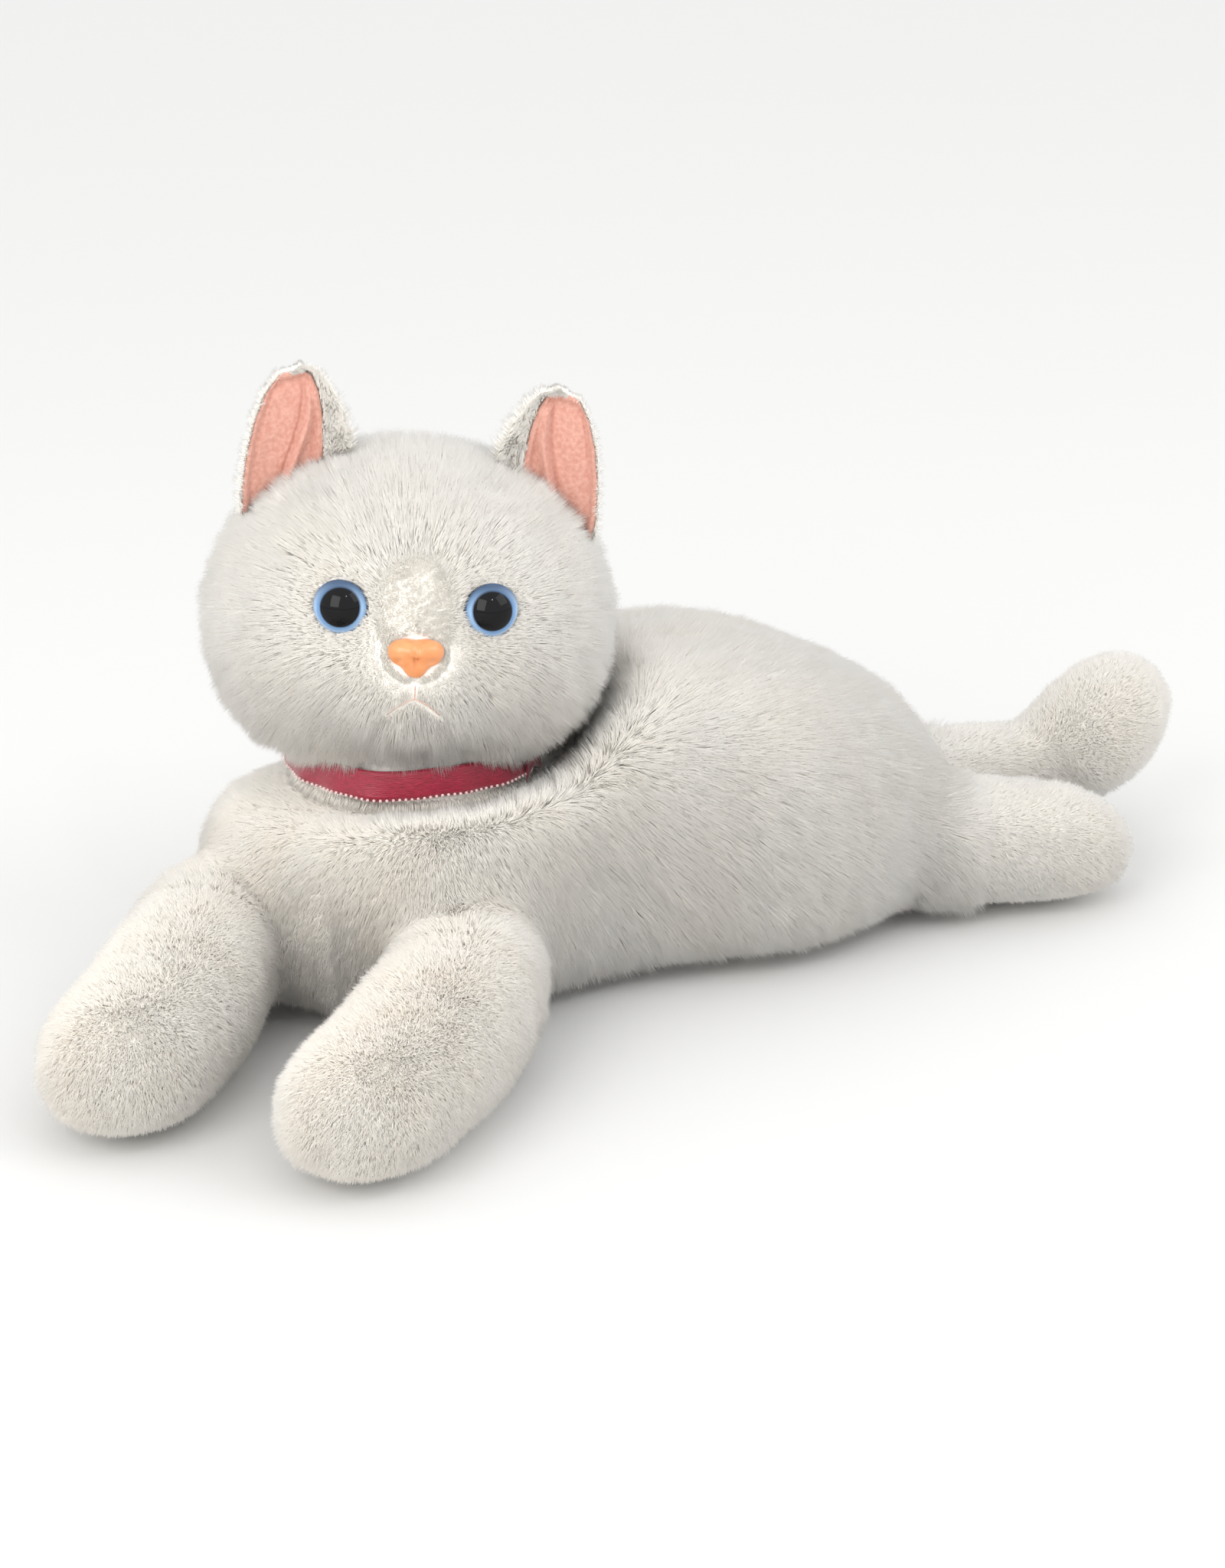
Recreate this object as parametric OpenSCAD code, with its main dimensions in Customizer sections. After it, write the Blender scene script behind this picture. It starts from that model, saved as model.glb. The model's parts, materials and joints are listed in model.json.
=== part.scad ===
// Plush cat lying on its belly: sewn covers, stuffing, bead bags, safety eyes and nose, ribbon collar.
// Row frame: +Z up, the body lies along Y with the chest towards -Y, the cat's left side is +X.

/* [Torso] */
// Widest width of the torso, at the haunches
torso_w = 150; // [144:1:152]
// Height of the back above the floor
torso_h = 102; // [98:1:103]
// Thickness of the pile fabric of every cover
cover_t = 4; // [3:0.5:4.5]

/* [Head] */
// Width of the head across the temples
head_w = 128; // [120:1:130]
// Depth of the head from face to back
head_d = 108; // [104:1:109]
// Height of the head
head_h = 106; // [102:1:107]
// Turn of the head towards the cat's left, in degrees
head_yaw = 45; // [39:1:49]
// Distance between the centres of the eyes
eye_gap = 48; // [46:0.5:50]
// Diameter of an eye
eye_d = 18; // [16:0.5:19]
// Width of the nose
nose_w = 18; // [15:0.5:19]
// Height of an ear above its base
ear_h = 34; // [30:1:38]

/* [Limbs] */
// Widest width of a front leg
front_w = 56; // [52:1:57]
// Height of a front leg
front_h = 50; // [46:1:51]
// Widest width of a hind leg
hind_w = 52; // [48:1:53]
// Height of a hind leg
hind_h = 46; // [42:1:47]
// Width of the tail at its tip
tail_w = 46; // [42:1:47]

/* [Collar] */
// Width of the ribbon
ribbon_w = 10; // [8:0.5:11]
// Thickness of the ribbon, folded and stitched
ribbon_t = 1.2; // [0.8:0.1:1.5]

/* [Hidden] */

fur = [0.93, 0.90, 0.86];
fur_shade = [0.86, 0.83, 0.79];
filling = [0.97, 0.97, 0.96];
beads = [0.75, 0.78, 0.82];
black = [0.05, 0.05, 0.06];
iris_blue = [0.55, 0.72, 0.90];
nose_orange = [0.96, 0.63, 0.42];
pink = [0.96, 0.78, 0.73];
ribbon_red = [0.67, 0.06, 0.22];
plastic = [0.85, 0.85, 0.85];

// Puts the bottom centre of the whole cat at the origin.
origin_shift = [-53, -42, 0];
// Air between neighbours in one body.
slack = 0.3;
// Centre of the head, which is also the centre of its turn and nod.
head_z = 127;
neck_r = 40;
neck_bottom = 66.3;
neck_top = 81.5;
seam = 0.35;

// Limb and torso rows are [x, y, z, half width, half height] along the middle of the stuffed part.
function sized(rows, w, h) = [for (s = rows) [s[0], s[1], s[2] * h, s[3] * w, s[4] * h]];

torso_line = sized([
    [6, -73, 24, 46, 32],
    [8, -53, 28, 63, 44],
    [12, -16, 33, 70, 58],
    [21, 24, 32, 61, 62],
    [35, 64, 30, 68, 72],
    [50, 102, 29, 77, 72],
    [62, 136, 27, 66, 60],
    [69, 160, 26, 48, 48],
    [73, 175, 26, 32, 34]], torso_w / 150, torso_h / 102);
front_left_line = sized([
    [80, -63, 27, 26, 25], [89, -86, 26, 29, 27], [99, -118, 24, 28, 26], [110, -165, 23, 27, 25]],
    front_w / 56, front_h / 50);
front_right_line = sized([
    [-15, -85, 27, 25, 25], [0, -109, 26, 28, 27], [18, -143, 24, 28, 26], [36, -188, 23, 27, 25]],
    front_w / 56, front_h / 50);
hind_left_line = sized([
    [116, 155, 24, 25, 23], [125, 168, 24, 26, 23], [140, 188, 22, 25, 22], [156, 209, 21, 24, 20]],
    hind_w / 52, hind_h / 46);
hind_right_line = sized([
    [-5, 163, 24, 25, 23], [-10, 182, 24, 26, 23], [-15, 206, 22, 25, 22], [-22, 236, 21, 24, 20]],
    hind_w / 52, hind_h / 46);
tail_base_line = sized([
    [82, 191, 27, 20, 24], [92, 210, 27, 21, 25], [102, 229, 30, 21, 24]], tail_w / 46, tail_w / 46);
tail_tip_line = sized([
    [106, 237, 35, 21, 21], [115, 249, 47, 24, 24], [127, 263, 70, 24, 23]], tail_w / 46, 1);
bag_line = [
    [16, -26, 13.2, 28, 6], [26, 14, 13.5, 38, 7], [38, 56, 13.5, 42, 7], [50, 94, 13.5, 36, 7],
    [58, 122, 13.2, 24, 6]];

// Every skin is [rows, rounded length at the start, and at the end, squareness, dished for the neck].
torso = [torso_line, 1.2, 1.2, 0.8, true];
front_left = [front_left_line, 0.8, 0.6, 0.9, false];
front_right = [front_right_line, 0.8, 0.6, 0.9, false];
hind_left = [hind_left_line, 1.0, 1.0, 0.9, false];
hind_right = [hind_right_line, 0.9, 0.8, 0.9, false];
tail_base = [tail_base_line, 1.0, 1.0, 1, false];
tail_tip = [tail_tip_line, 1.0, 1.1, 1, false];
bag = [bag_line, 1, 1, 0.9, false];

function unit(v) = v / norm(v);
function mix(a, b, t) = a + (b - a) * t;
function bent(v, k) = sign(v) * pow(abs(v), k);

// Catmull-Rom curve through the rows of p, at t from 0 to len(p) - 1.
function row(p, t) =
    let (n = len(p) - 1, i = max(0, min(floor(t), n - 1)), u = t - i,
         a = p[max(i - 1, 0)], b = p[i], c = p[i + 1], d = p[min(i + 2, n)])
    0.5 * (2 * b + (c - a) * u + (2 * a - 5 * b + 4 * c - d) * u * u + (3 * b - a - 3 * c + d) * u * u * u);
function middle(p, t) = let (s = row(p, t)) [s[0], s[1], s[2]];
function heading(p, t) = unit(middle(p, t + 0.02) - middle(p, t - 0.02));

// How far a rounded end has opened at t: 0 at the pole, 1 past the cap.
function cap_open(s, t) =
    let (n = len(s[0]) - 1)
    t < s[1] ? sqrt(max(0, 1 - pow(1 - t / s[1], 2)))
    : n - t < s[2] ? sqrt(max(0, 1 - pow(1 - (n - t) / s[2], 2)))
    : 1;

// Highest the torso may reach at a distance from the neck axis, so that the head turns freely.
function under_head(r) = r > head_w / 2 + 5 ? 1000
    : head_z - 4 - head_h / 2 * sqrt(1 - pow(r / (head_w / 2 + 5), 2));
function dish(r) = min(neck_bottom - 0.8 + max(0, r - neck_r - 18) * 2, under_head(r));

// Where the skin s, sunk by depth, passes at t along it and at angle a around it.
function skin(s, t, a, depth) =
    let (p = s[0], n = len(p) - 1, pull = depth * n / norm(middle(p, n) - middle(p, 0)),
         u = mix(pull, n - pull, t / n), m = row(p, u), d = heading(p, u),
         side = unit(cross(d, [0, 0, 1])), up = cross(side, d), open = cap_open(s, t),
         high = (sin(a) < 0 ? min(m[4], 1.08 * m[2]) : m[4]) - depth,
         q = [m[0], m[1], m[2]] + side * (m[3] - depth) * open * bent(cos(a), s[3])
             + up * high * open * bent(sin(a), s[3]),
         low = max(q[2], depth))
    [q[0], q[1], s[4] ? min(low, dish(norm([q[0], q[1]]) - depth) - depth) : low];

// Places along a skin between t0 and t1, closer together at its two ends.
function places(s, rings, t0, t1) =
    let (n = len(s[0]) - 1)
    concat([t0], [for (i = [1 : rings - 1])
        let (t = n * (1 - cos(180 * i / rings)) / 2) if (t > t0 + 0.04 && t < t1 - 0.04) t], [t1]);
function around(from, to, sides) = [for (j = [0 : sides]) mix(from, to, j / sides)];

// Closed solid inside the skin s from t0 to t1, sunk by depth and kept above lift.
module filled(s, rings, sides, depth, t0 = 0, t1 = -1, lift = 0) {
    function raised(q) = [q[0], q[1], max(q[2], lift)];
    ts = places(s, rings, t0, t1 < 0 ? len(s[0]) - 1 : t1);
    m = len(ts);
    ends = [skin(s, ts[0], 0, depth) + skin(s, ts[0], 180, depth),
            skin(s, ts[m - 1], 0, depth) + skin(s, ts[m - 1], 180, depth)] / 2;
    open0 = cap_open(s, ts[0]) > 0.01;
    open1 = cap_open(s, ts[m - 1]) > 0.01;
    used = [for (i = [(open0 ? 0 : 1) : m - (open1 ? 1 : 2)]) ts[i]];
    rows = len(used);
    function at(i, j) = 1 + i * sides + (j % sides);
    polyhedron(
        concat([ends[0]], [for (t = used, j = [0 : sides - 1]) raised(skin(s, t, 360 * j / sides, depth))],
            [ends[1]]),
        concat(
            [for (j = [0 : sides - 1]) [0, at(0, j + 1), at(0, j)]],
            [for (i = [0 : rows - 2], j = [0 : sides - 1]) each
                [[at(i, j), at(i, j + 1), at(i + 1, j + 1)], [at(i, j), at(i + 1, j + 1), at(i + 1, j)]]],
            [for (j = [0 : sides - 1]) [at(rows - 1, j), at(rows - 1, j + 1), rows * sides + 1]]));
}

// Fabric shell of the skin s between two angles around it.
module panel(s, rings, sides, from, to) {
    ts = places(s, rings, 0, len(s[0]) - 1);
    used = [for (i = [1 : len(ts) - 2]) ts[i]];
    rows = len(used);
    k = sides + 1;
    layer = rows * k + 2;
    angles = around(from + seam, to - seam, sides);
    function at(side, i, j) = side * layer + 1 + i * k + j;
    function sheet(side) = concat(
        [for (j = [0 : k - 2]) [side * layer, at(side, 0, j + 1), at(side, 0, j)]],
        [for (i = [0 : rows - 2], j = [0 : k - 2]) each
            [[at(side, i, j), at(side, i, j + 1), at(side, i + 1, j + 1)],
             [at(side, i, j), at(side, i + 1, j + 1), at(side, i + 1, j)]]],
        [for (j = [0 : k - 2])
            [at(side, rows - 1, j), at(side, rows - 1, j + 1), side * layer + layer - 1]]);
    function edge(j) = concat([[0, layer, at(0, 0, j)], [layer, at(1, 0, j), at(0, 0, j)]],
        [for (i = [0 : rows - 2]) each
            [[at(0, i, j), at(1, i, j), at(0, i + 1, j)], [at(1, i, j), at(1, i + 1, j), at(0, i + 1, j)]]],
        [[at(0, rows - 1, j), at(1, rows - 1, j), layer - 1],
         [at(1, rows - 1, j), 2 * layer - 1, layer - 1]]);
    function flipped(f) = [for (t = f) [t[0], t[2], t[1]]];
    points = [for (depth = [0, cover_t]) each concat([skin(s, ts[0], 0, depth)],
        [for (t = used, a = angles) skin(s, t, a, depth)], [skin(s, ts[len(ts) - 1], 0, depth)])];
    polyhedron(points, concat(sheet(0), flipped(sheet(1)), flipped(edge(0)), edge(k - 1)));
}

// Rounded head shape: an egg with cheeks, a muzzle and shallow eye sockets, in the head's own axes.
head_bumps = [
    [[0.72, -0.52, -0.42], 7, 0.045], [[-0.72, -0.52, -0.42], 7, 0.045],
    [[0.16, -0.94, -0.26], 22, 0.075], [[-0.16, -0.94, -0.26], 22, 0.075],
    [[0.38, -0.88, 0.27], 40, -0.045], [[-0.38, -0.88, 0.27], 40, -0.045],
    [[0, -0.72, -0.69], 14, -0.03]];
function swell(d, i = 0) =
    i == len(head_bumps) ? 1
    : let (b = head_bumps[i]) b[2] * exp(-b[1] * (1 - d * unit(b[0]))) + swell(d, i + 1);
// Angle u runs from the left temple to the right one, and a from the face over the crown.
function head_point(u, a, depth) =
    let (d = [cos(u), -sin(u) * cos(a), sin(u) * sin(a)],
         q = [d[0] * head_w / 2, d[1] * head_d / 2, d[2] * head_h / 2] * swell(d))
    q - unit(q) * depth;
// Distance in front of the head's centre of the skin at x, z, found by bisection.
function face_y(x, z, lo = 30, hi = 70, n = 22) =
    n == 0 ? -(lo + hi) / 2
    : let (y = (lo + hi) / 2, p = [x, -y, z], d = unit([x * 2 / head_w, -y * 2 / head_d, z * 2 / head_h]),
           r = norm([x * 2 / head_w, y * 2 / head_d, z * 2 / head_h]))
    r > swell(d) ? face_y(x, z, lo, y, n - 1) : face_y(x, z, y, hi, n - 1);

module on_head() {
    translate([0, 0, head_z]) rotate([0, head_tilt, head_yaw]) children();
}

gusset_u = acos(13 * 2 / head_w);

// Side panel of the head, from the temple to the gusset, mirrored for the right side.
module head_side(side) {
    us = [for (i = [1 : 9]) gusset_u * sin(90 * i / 9)];
    k = 32;
    rows = len(us);
    layer = rows * k + 1;
    function at(l, i, j) = l * layer + 1 + i * k + (j % k);
    function sheet(l) = concat(
        [for (j = [0 : k - 1]) [l * layer, at(l, 0, j), at(l, 0, j + 1)]],
        [for (i = [0 : rows - 2], j = [0 : k - 1]) each
            [[at(l, i, j), at(l, i + 1, j), at(l, i + 1, j + 1)],
             [at(l, i, j), at(l, i + 1, j + 1), at(l, i, j + 1)]]]);
    function flipped(f) = [for (t = f) [t[0], t[2], t[1]]];
    rim = [for (j = [0 : k - 1]) each [[at(0, rows - 1, j), at(1, rows - 1, j), at(0, rows - 1, j + 1)],
        [at(1, rows - 1, j), at(1, rows - 1, j + 1), at(0, rows - 1, j + 1)]]];
    mirror([side > 0 ? 0 : 1, 0, 0])
        polyhedron(
            [for (depth = [0, cover_t]) each concat([head_point(0, 0, depth)],
                [for (u = us, j = [0 : k - 1]) head_point(u, 360 * j / k, depth)])],
            concat(sheet(0), flipped(sheet(1)), rim));
}

// Part of the band between the two side panels, from angle from to angle to over the head.
module gusset(from, to, steps) {
    us = [for (i = [0 : 4]) mix(gusset_u + seam, 180 - gusset_u - seam, i / 4)];
    as = around(from + seam, to - seam, steps);
    m = len(us);
    k = len(as);
    function at(l, i, j) = l * m * k + i * k + j;
    function quad(a, b, c, d) = [[a, b, c], [a, c, d]];
    polyhedron(
        [for (depth = [0, cover_t], u = us, a = as) head_point(u, a, depth)],
        concat(
            [for (i = [0 : m - 2], j = [0 : k - 2]) each
                quad(at(0, i, j), at(0, i + 1, j), at(0, i + 1, j + 1), at(0, i, j + 1))],
            [for (i = [0 : m - 2], j = [0 : k - 2]) each
                quad(at(1, i, j), at(1, i, j + 1), at(1, i + 1, j + 1), at(1, i + 1, j))],
            [for (i = [0 : m - 2]) each quad(at(0, i, 0), at(1, i, 0), at(1, i + 1, 0), at(0, i + 1, 0))],
            [for (i = [0 : m - 2]) each
                quad(at(0, i, k - 1), at(0, i + 1, k - 1), at(1, i + 1, k - 1), at(1, i, k - 1))],
            [for (j = [0 : k - 2]) each quad(at(0, 0, j), at(0, 0, j + 1), at(1, 0, j + 1), at(1, 0, j))],
            [for (j = [0 : k - 2]) each
                quad(at(0, m - 1, j), at(1, m - 1, j), at(1, m - 1, j + 1), at(0, m - 1, j + 1))]));
}

module head_core(depth) {
    rows = 13;
    k = 24;
    function at(i, j) = 1 + i * k + (j % k);
    polyhedron(
        concat([head_point(0, 0, depth)],
            [for (i = [1 : rows], j = [0 : k - 1]) head_point(180 * i / (rows + 1), 360 * j / k, depth)],
            [head_point(180, 0, depth)]),
        concat(
            [for (j = [0 : k - 1]) [0, at(0, j), at(0, j + 1)]],
            [for (i = [0 : rows - 2], j = [0 : k - 1]) each
                [[at(i, j), at(i + 1, j), at(i + 1, j + 1)], [at(i, j), at(i + 1, j + 1), at(i, j + 1)]]],
            [for (j = [0 : k - 1]) [at(rows - 1, j), rows * k + 1, at(rows - 1, j + 1)]]));
}

// Turns its children, drawn with +Z outward, to stand on the face at x, z with a stem into the head.
module on_face(x, z, out, turn = 0) {
    on_head() translate([x, face_y(x, z) - out, z]) rotate([0, 0, turn]) rotate([90, 0, 0]) children();
}
module on_eye(side) {
    on_face(side * eye_gap / 2, eye_z, 1.6, side * eye_turn) children();
}

eye_z = 13.5;
eye_turn = 14;
// Sideways tilt of the whole head, and further lean of the left and the right ear, towards the cat's left.
head_tilt = 3;
ear_lean = [6, 0.5];
stem_r = 2.5;
stem_l = 14;
eye_sphere_r = eye_d / 2 * 1.12;
nose_z = 1;

module eye_dome(side) {
    color([0.9, 0.95, 1, 0.5]) on_eye(side)
        intersection() {
            translate([0, 0, -eye_sphere_r + eye_d * 0.36]) sphere(r = eye_sphere_r, $fn = 48);
            cylinder(r = eye_d / 2, h = eye_d, $fn = 48);
        }
}
module eye_iris(side) {
    color(iris_blue) on_eye(side)
        translate([0, 0, -0.8]) difference() {
            cylinder(r = eye_d / 2 - 0.2, h = 0.8, $fn = 48);
            translate([0, 0, -1]) cylinder(r = eye_d * 0.355 + 0.05, h = 3, $fn = 48);
        }
}
module eye_pupil(side) {
    color(black) on_eye(side)
        translate([0, 0, -0.8]) cylinder(r = eye_d * 0.355, h = 0.8, $fn = 48);
}
// Black backing plate with its ribbed stem.
module eye_stem(side) {
    color(black) on_eye(side) {
        translate([0, 0, -1.4]) cylinder(r = eye_d / 2 - 0.2, h = 0.6, $fn = 48);
        translate([0, 0, -1.4 - stem_l]) cylinder(r = stem_r, h = stem_l, $fn = 32);
        for (i = [0 : 2])
            translate([0, 0, -1.2 - stem_l + i * 1.1])
                cylinder(r1 = stem_r - 0.05, r2 = stem_r + 0.3, h = 0.8, $fn = 32);
    }
}
// Washer that locks the stem against the inside of the cover.
module washer(r) {
    color(plastic) translate([0, 0, -cover_t - 6.2])
        difference() {
            cylinder(r = r, h = 1.6, $fn = 40);
            translate([0, 0, -1]) cylinder(r = stem_r + 0.15, h = 4, $fn = 32);
        }
}
// Room for the stems through the cover, and for the washers in the filling.
module stem_holes(r, wide) {
    for (side = [-1, 1])
        on_eye(side) {
            translate([0, 0, -stem_l - 3]) cylinder(r = r, h = stem_l + 6, $fn = 32);
            if (wide) translate([0, 0, -stem_l - 3]) cylinder(r = 8.4, h = stem_l, $fn = 32);
            translate([0, 0, -1.8]) cylinder(r = eye_d / 2 + 0.2, h = 12, $fn = 48);
        }
    on_face(0, nose_z, 0) {
        translate([0, 0, -stem_l - 3]) cylinder(r = r, h = stem_l + 6, $fn = 32);
        if (wide) translate([0, 0, -stem_l - 3]) cylinder(r = 8.4, h = stem_l, $fn = 32);
        translate([0, 0, -0.3]) cylinder(r = nose_w / 2 + 1, h = 12, $fn = 48);
    }
}

// Rounded triangular nose with its stem.
module nose_shape() {
    w = nose_w / 2;
    color(nose_orange) on_face(0, nose_z, 0) {
        intersection() {
            hull() {
                for (x = [-1, 1]) translate([x * w * 0.52, w * 0.34, 1.2]) sphere(r = w * 0.46, $fn = 20);
                translate([0, -w * 0.46, 0.8]) sphere(r = w * 0.3, $fn = 20);
            }
            translate([-w * 2, -w * 2, 0]) cube([w * 4, w * 4, w * 4]);
        }
        translate([0, 0, -stem_l]) cylinder(r = stem_r, h = stem_l + 0.5, $fn = 32);
    }
}

// One straight stitch of mouth thread between two places on the face.
module stitch(x0, z0, x1, z1) {
    a = [x0, face_y(x0, z0) - 1, z0];
    b = [x1, face_y(x1, z1) - 1, z1];
    d = b - a;
    translate(a) rotate([0, acos(d[2] / norm(d)), atan2(d[1], d[0])])
        cylinder(r = 0.5, h = norm(d), $fn = 16);
}

// Outline of the left ear seen from the front, in the head's own x and z.
ear_base = [[57.5, 30], [50, 37.5], [40, 45.2], [30, 50.8], [21, 54.3]];
ear_edge = [[22.5, 59], [26.5, 67], [31, 73.5], [35.5, 77.5], [39.5, 79], [44, 77.5], [48.5, 72.5], [53, 63],
    [56, 51], [57.8, 39]];
ear_middle = [40, 47];
function ear_outline(k, up) = [for (p = concat(ear_base, ear_edge))
    let (q = ear_middle + (p - ear_middle) * k)
        [q[0], ear_middle[1] + (q[1] - ear_middle[1]) * ear_h / 34 + up]];

// Leaf of an ear, bent round a cylinder in front of it, shrunk by k about the middle of its base.
module ear_leaf(side, front, thick, k, up) {
    on_head() rotate([0, ear_lean[side > 0 ? 0 : 1], 0]) mirror([side > 0 ? 0 : 1, 0, 0])
        intersection() {
            rotate([90, 0, 0]) translate([0, 0, -20]) linear_extrude(60) polygon(ear_outline(k, up));
            translate([39, -26, 20]) tube(30 - front - thick, thick, 80);
        }
}

// Short column between the torso and the head, hollowed on top to the sweep of the head.
module neck_ring(outer, inner) {
    translate([0, 0, neck_bottom]) difference() {
        cylinder(r = outer, h = neck_top - neck_bottom, $fn = 72);
        if (inner > 0) translate([0, 0, -1]) cylinder(r = inner, h = 30, $fn = 72);
        translate([0, 0, head_z - neck_bottom + 22.5]) sphere(r = 77.5, $fn = 96);
    }
}
module tube(inner, thick, height) {
    difference() {
        cylinder(r = inner + thick, h = height, $fn = 72);
        translate([0, 0, -1]) cylinder(r = inner, h = height + 2, $fn = 72);
    }
}
ribbon_z = neck_bottom + 7;
// Pinched ends of the ribbon, flaring away from a tight wrap at the cat's left.
module ribbon_end_pair() {
    r = neck_r + 0.4 + ribbon_t;
    rotate([0, 0, 22]) translate([0, 0, ribbon_z]) intersection() {
        tube(r + 0.25, 2, ribbon_w + 2);
        translate([r - 5, 0, 0]) rotate([90, 0, 90]) linear_extrude(12)
            polygon([[-7, 0.6], [-1.5, 3.2], [1.5, 3.2], [8, -0], [9, 5], [8, ribbon_w + 0.6],
                [1.5, ribbon_w - 3.2], [-1.5, ribbon_w - 3.2], [-7, ribbon_w - 0.8]]);
    }
}

module torso_left_panel() {
    translate(origin_shift) color(fur) panel(torso, 18, 10, -30, 90);
}

module torso_right_panel() {
    translate(origin_shift) color(fur) panel(torso, 18, 10, 90, 210);
}

module torso_belly_panel() {
    translate(origin_shift) color(fur_shade) panel(torso, 18, 10, 210, 330);
}

module torso_stuffing() {
    translate(origin_shift) color(filling) filled(torso, 18, 30, cover_t + 1.8, lift = 20.5);
}

module torso_bead_bag() {
    translate(origin_shift) color(beads) filled(bag, 10, 16, 0);
}

module neck_cover() {
    translate(origin_shift) color(fur) neck_ring(neck_r, neck_r - cover_t + slack);
}

module neck_stuffing() {
    translate(origin_shift) color(filling) neck_ring(neck_r - cover_t, 0);
}

module ribbon_collar() {
    translate(origin_shift) color(ribbon_red) translate([0, 0, ribbon_z])
        tube(neck_r + 0.4, ribbon_t, ribbon_w);
}

module ribbon_ends() {
    translate(origin_shift) color(ribbon_red) ribbon_end_pair();
}

module head_left_panel() {
    translate(origin_shift) color(fur) difference() {
        on_head() head_side(1);
        stem_holes(stem_r + 0.4, false);
    }
}

module head_right_panel() {
    translate(origin_shift) color(fur) difference() {
        on_head() head_side(-1);
        stem_holes(stem_r + 0.4, false);
    }
}

module head_crown_gusset() {
    translate(origin_shift) color(fur_shade) on_head() gusset(50, 190, 12);
}

module head_nose_bridge() {
    translate(origin_shift) color(fur_shade) difference() {
        on_head() gusset(-12, 50, 7);
        stem_holes(stem_r + 0.4, false);
    }
}

module head_chin_gusset() {
    translate(origin_shift) color(fur_shade) on_head() gusset(190, 348, 12);
}

module head_stuffing() {
    translate(origin_shift) color(filling) difference() {
        on_head() head_core(cover_t + 0.8);
        stem_holes(stem_r + 0.4, true);
    }
}

module left_eye_dome() {
    translate(origin_shift) eye_dome(1);
}

module left_eye_iris() {
    translate(origin_shift) eye_iris(1);
}

module left_eye_pupil() {
    translate(origin_shift) eye_pupil(1);
}

module left_eye_stem() {
    translate(origin_shift) eye_stem(1);
}

module left_eye_washer() {
    translate(origin_shift) on_eye(1) washer(7.5);
}

module right_eye_dome() {
    translate(origin_shift) eye_dome(-1);
}

module right_eye_iris() {
    translate(origin_shift) eye_iris(-1);
}

module right_eye_pupil() {
    translate(origin_shift) eye_pupil(-1);
}

module right_eye_stem() {
    translate(origin_shift) eye_stem(-1);
}

module right_eye_washer() {
    translate(origin_shift) on_eye(-1) washer(7.5);
}

module nose() {
    translate(origin_shift) nose_shape();
}

module nose_washer() {
    translate(origin_shift) on_face(0, nose_z, 0) washer(7.5);
}

module mouth_thread() {
    translate(origin_shift) color(nose_orange) on_head() {
        stitch(0, -8.2, 0, -12.6);
        stitch(-0.9, -13.6, -8.5, -20);
        stitch(0.9, -13.6, 8.5, -20);
    }
}

module left_ear_back() {
    translate(origin_shift) color(fur) ear_leaf(1, 0, 2.6, 1, 0);
}

module left_ear_lining() {
    translate(origin_shift) color(pink) ear_leaf(1, 2.8, 1.6, 0.86, 2.2);
}

module right_ear_back() {
    translate(origin_shift) color(fur) ear_leaf(-1, 0, 2.6, 1, 0);
}

module right_ear_lining() {
    translate(origin_shift) color(pink) ear_leaf(-1, 2.8, 1.6, 0.86, 2.2);
}

module front_left_leg_top() {
    translate(origin_shift) color(fur) panel(front_left, 12, 8, -10, 190);
}

module front_left_leg_under() {
    translate(origin_shift) color(fur_shade) panel(front_left, 12, 8, 190, 350);
}

module front_left_leg_stuffing() {
    translate(origin_shift) color(filling) filled(front_left, 12, 16, cover_t + 0.9, t1 = 2.05);
}

module front_left_paw_beads() {
    translate(origin_shift) color(beads) filled(front_left, 12, 16, cover_t + 0.9, t0 = 2.1);
}

module front_right_leg_top() {
    translate(origin_shift) color(fur) panel(front_right, 12, 8, -10, 190);
}

module front_right_leg_under() {
    translate(origin_shift) color(fur_shade) panel(front_right, 12, 8, 190, 350);
}

module front_right_leg_stuffing() {
    translate(origin_shift) color(filling) filled(front_right, 12, 16, cover_t + 0.9, t1 = 2.05);
}

module front_right_paw_beads() {
    translate(origin_shift) color(beads) filled(front_right, 12, 16, cover_t + 0.9, t0 = 2.1);
}

module hind_left_leg_top() {
    translate(origin_shift) color(fur) panel(hind_left, 12, 8, -10, 190);
}

module hind_left_leg_under() {
    translate(origin_shift) color(fur_shade) panel(hind_left, 12, 8, 190, 350);
}

module hind_left_leg_stuffing() {
    translate(origin_shift) color(filling) filled(hind_left, 12, 16, cover_t + 0.9, t1 = 2.05);
}

module hind_left_paw_beads() {
    translate(origin_shift) color(beads) filled(hind_left, 12, 16, cover_t + 0.9, t0 = 2.1);
}

module hind_right_leg_top() {
    translate(origin_shift) color(fur) panel(hind_right, 12, 8, -10, 190);
}

module hind_right_leg_under() {
    translate(origin_shift) color(fur_shade) panel(hind_right, 12, 8, 190, 350);
}

module hind_right_leg_stuffing() {
    translate(origin_shift) color(filling) filled(hind_right, 12, 16, cover_t + 0.9, t1 = 2.05);
}

module hind_right_paw_beads() {
    translate(origin_shift) color(beads) filled(hind_right, 12, 16, cover_t + 0.9, t0 = 2.1);
}

module tail_base_top() {
    translate(origin_shift) color(fur) panel(tail_base, 10, 8, 0, 180);
}

module tail_base_under() {
    translate(origin_shift) color(fur_shade) panel(tail_base, 10, 8, 180, 360);
}

module tail_base_stuffing() {
    translate(origin_shift) color(filling) filled(tail_base, 10, 16, cover_t + 0.9);
}

module tail_tip_top() {
    translate(origin_shift) color(fur) panel(tail_tip, 10, 8, 0, 180);
}

module tail_tip_under() {
    translate(origin_shift) color(fur_shade) panel(tail_tip, 10, 8, 180, 360);
}

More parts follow.
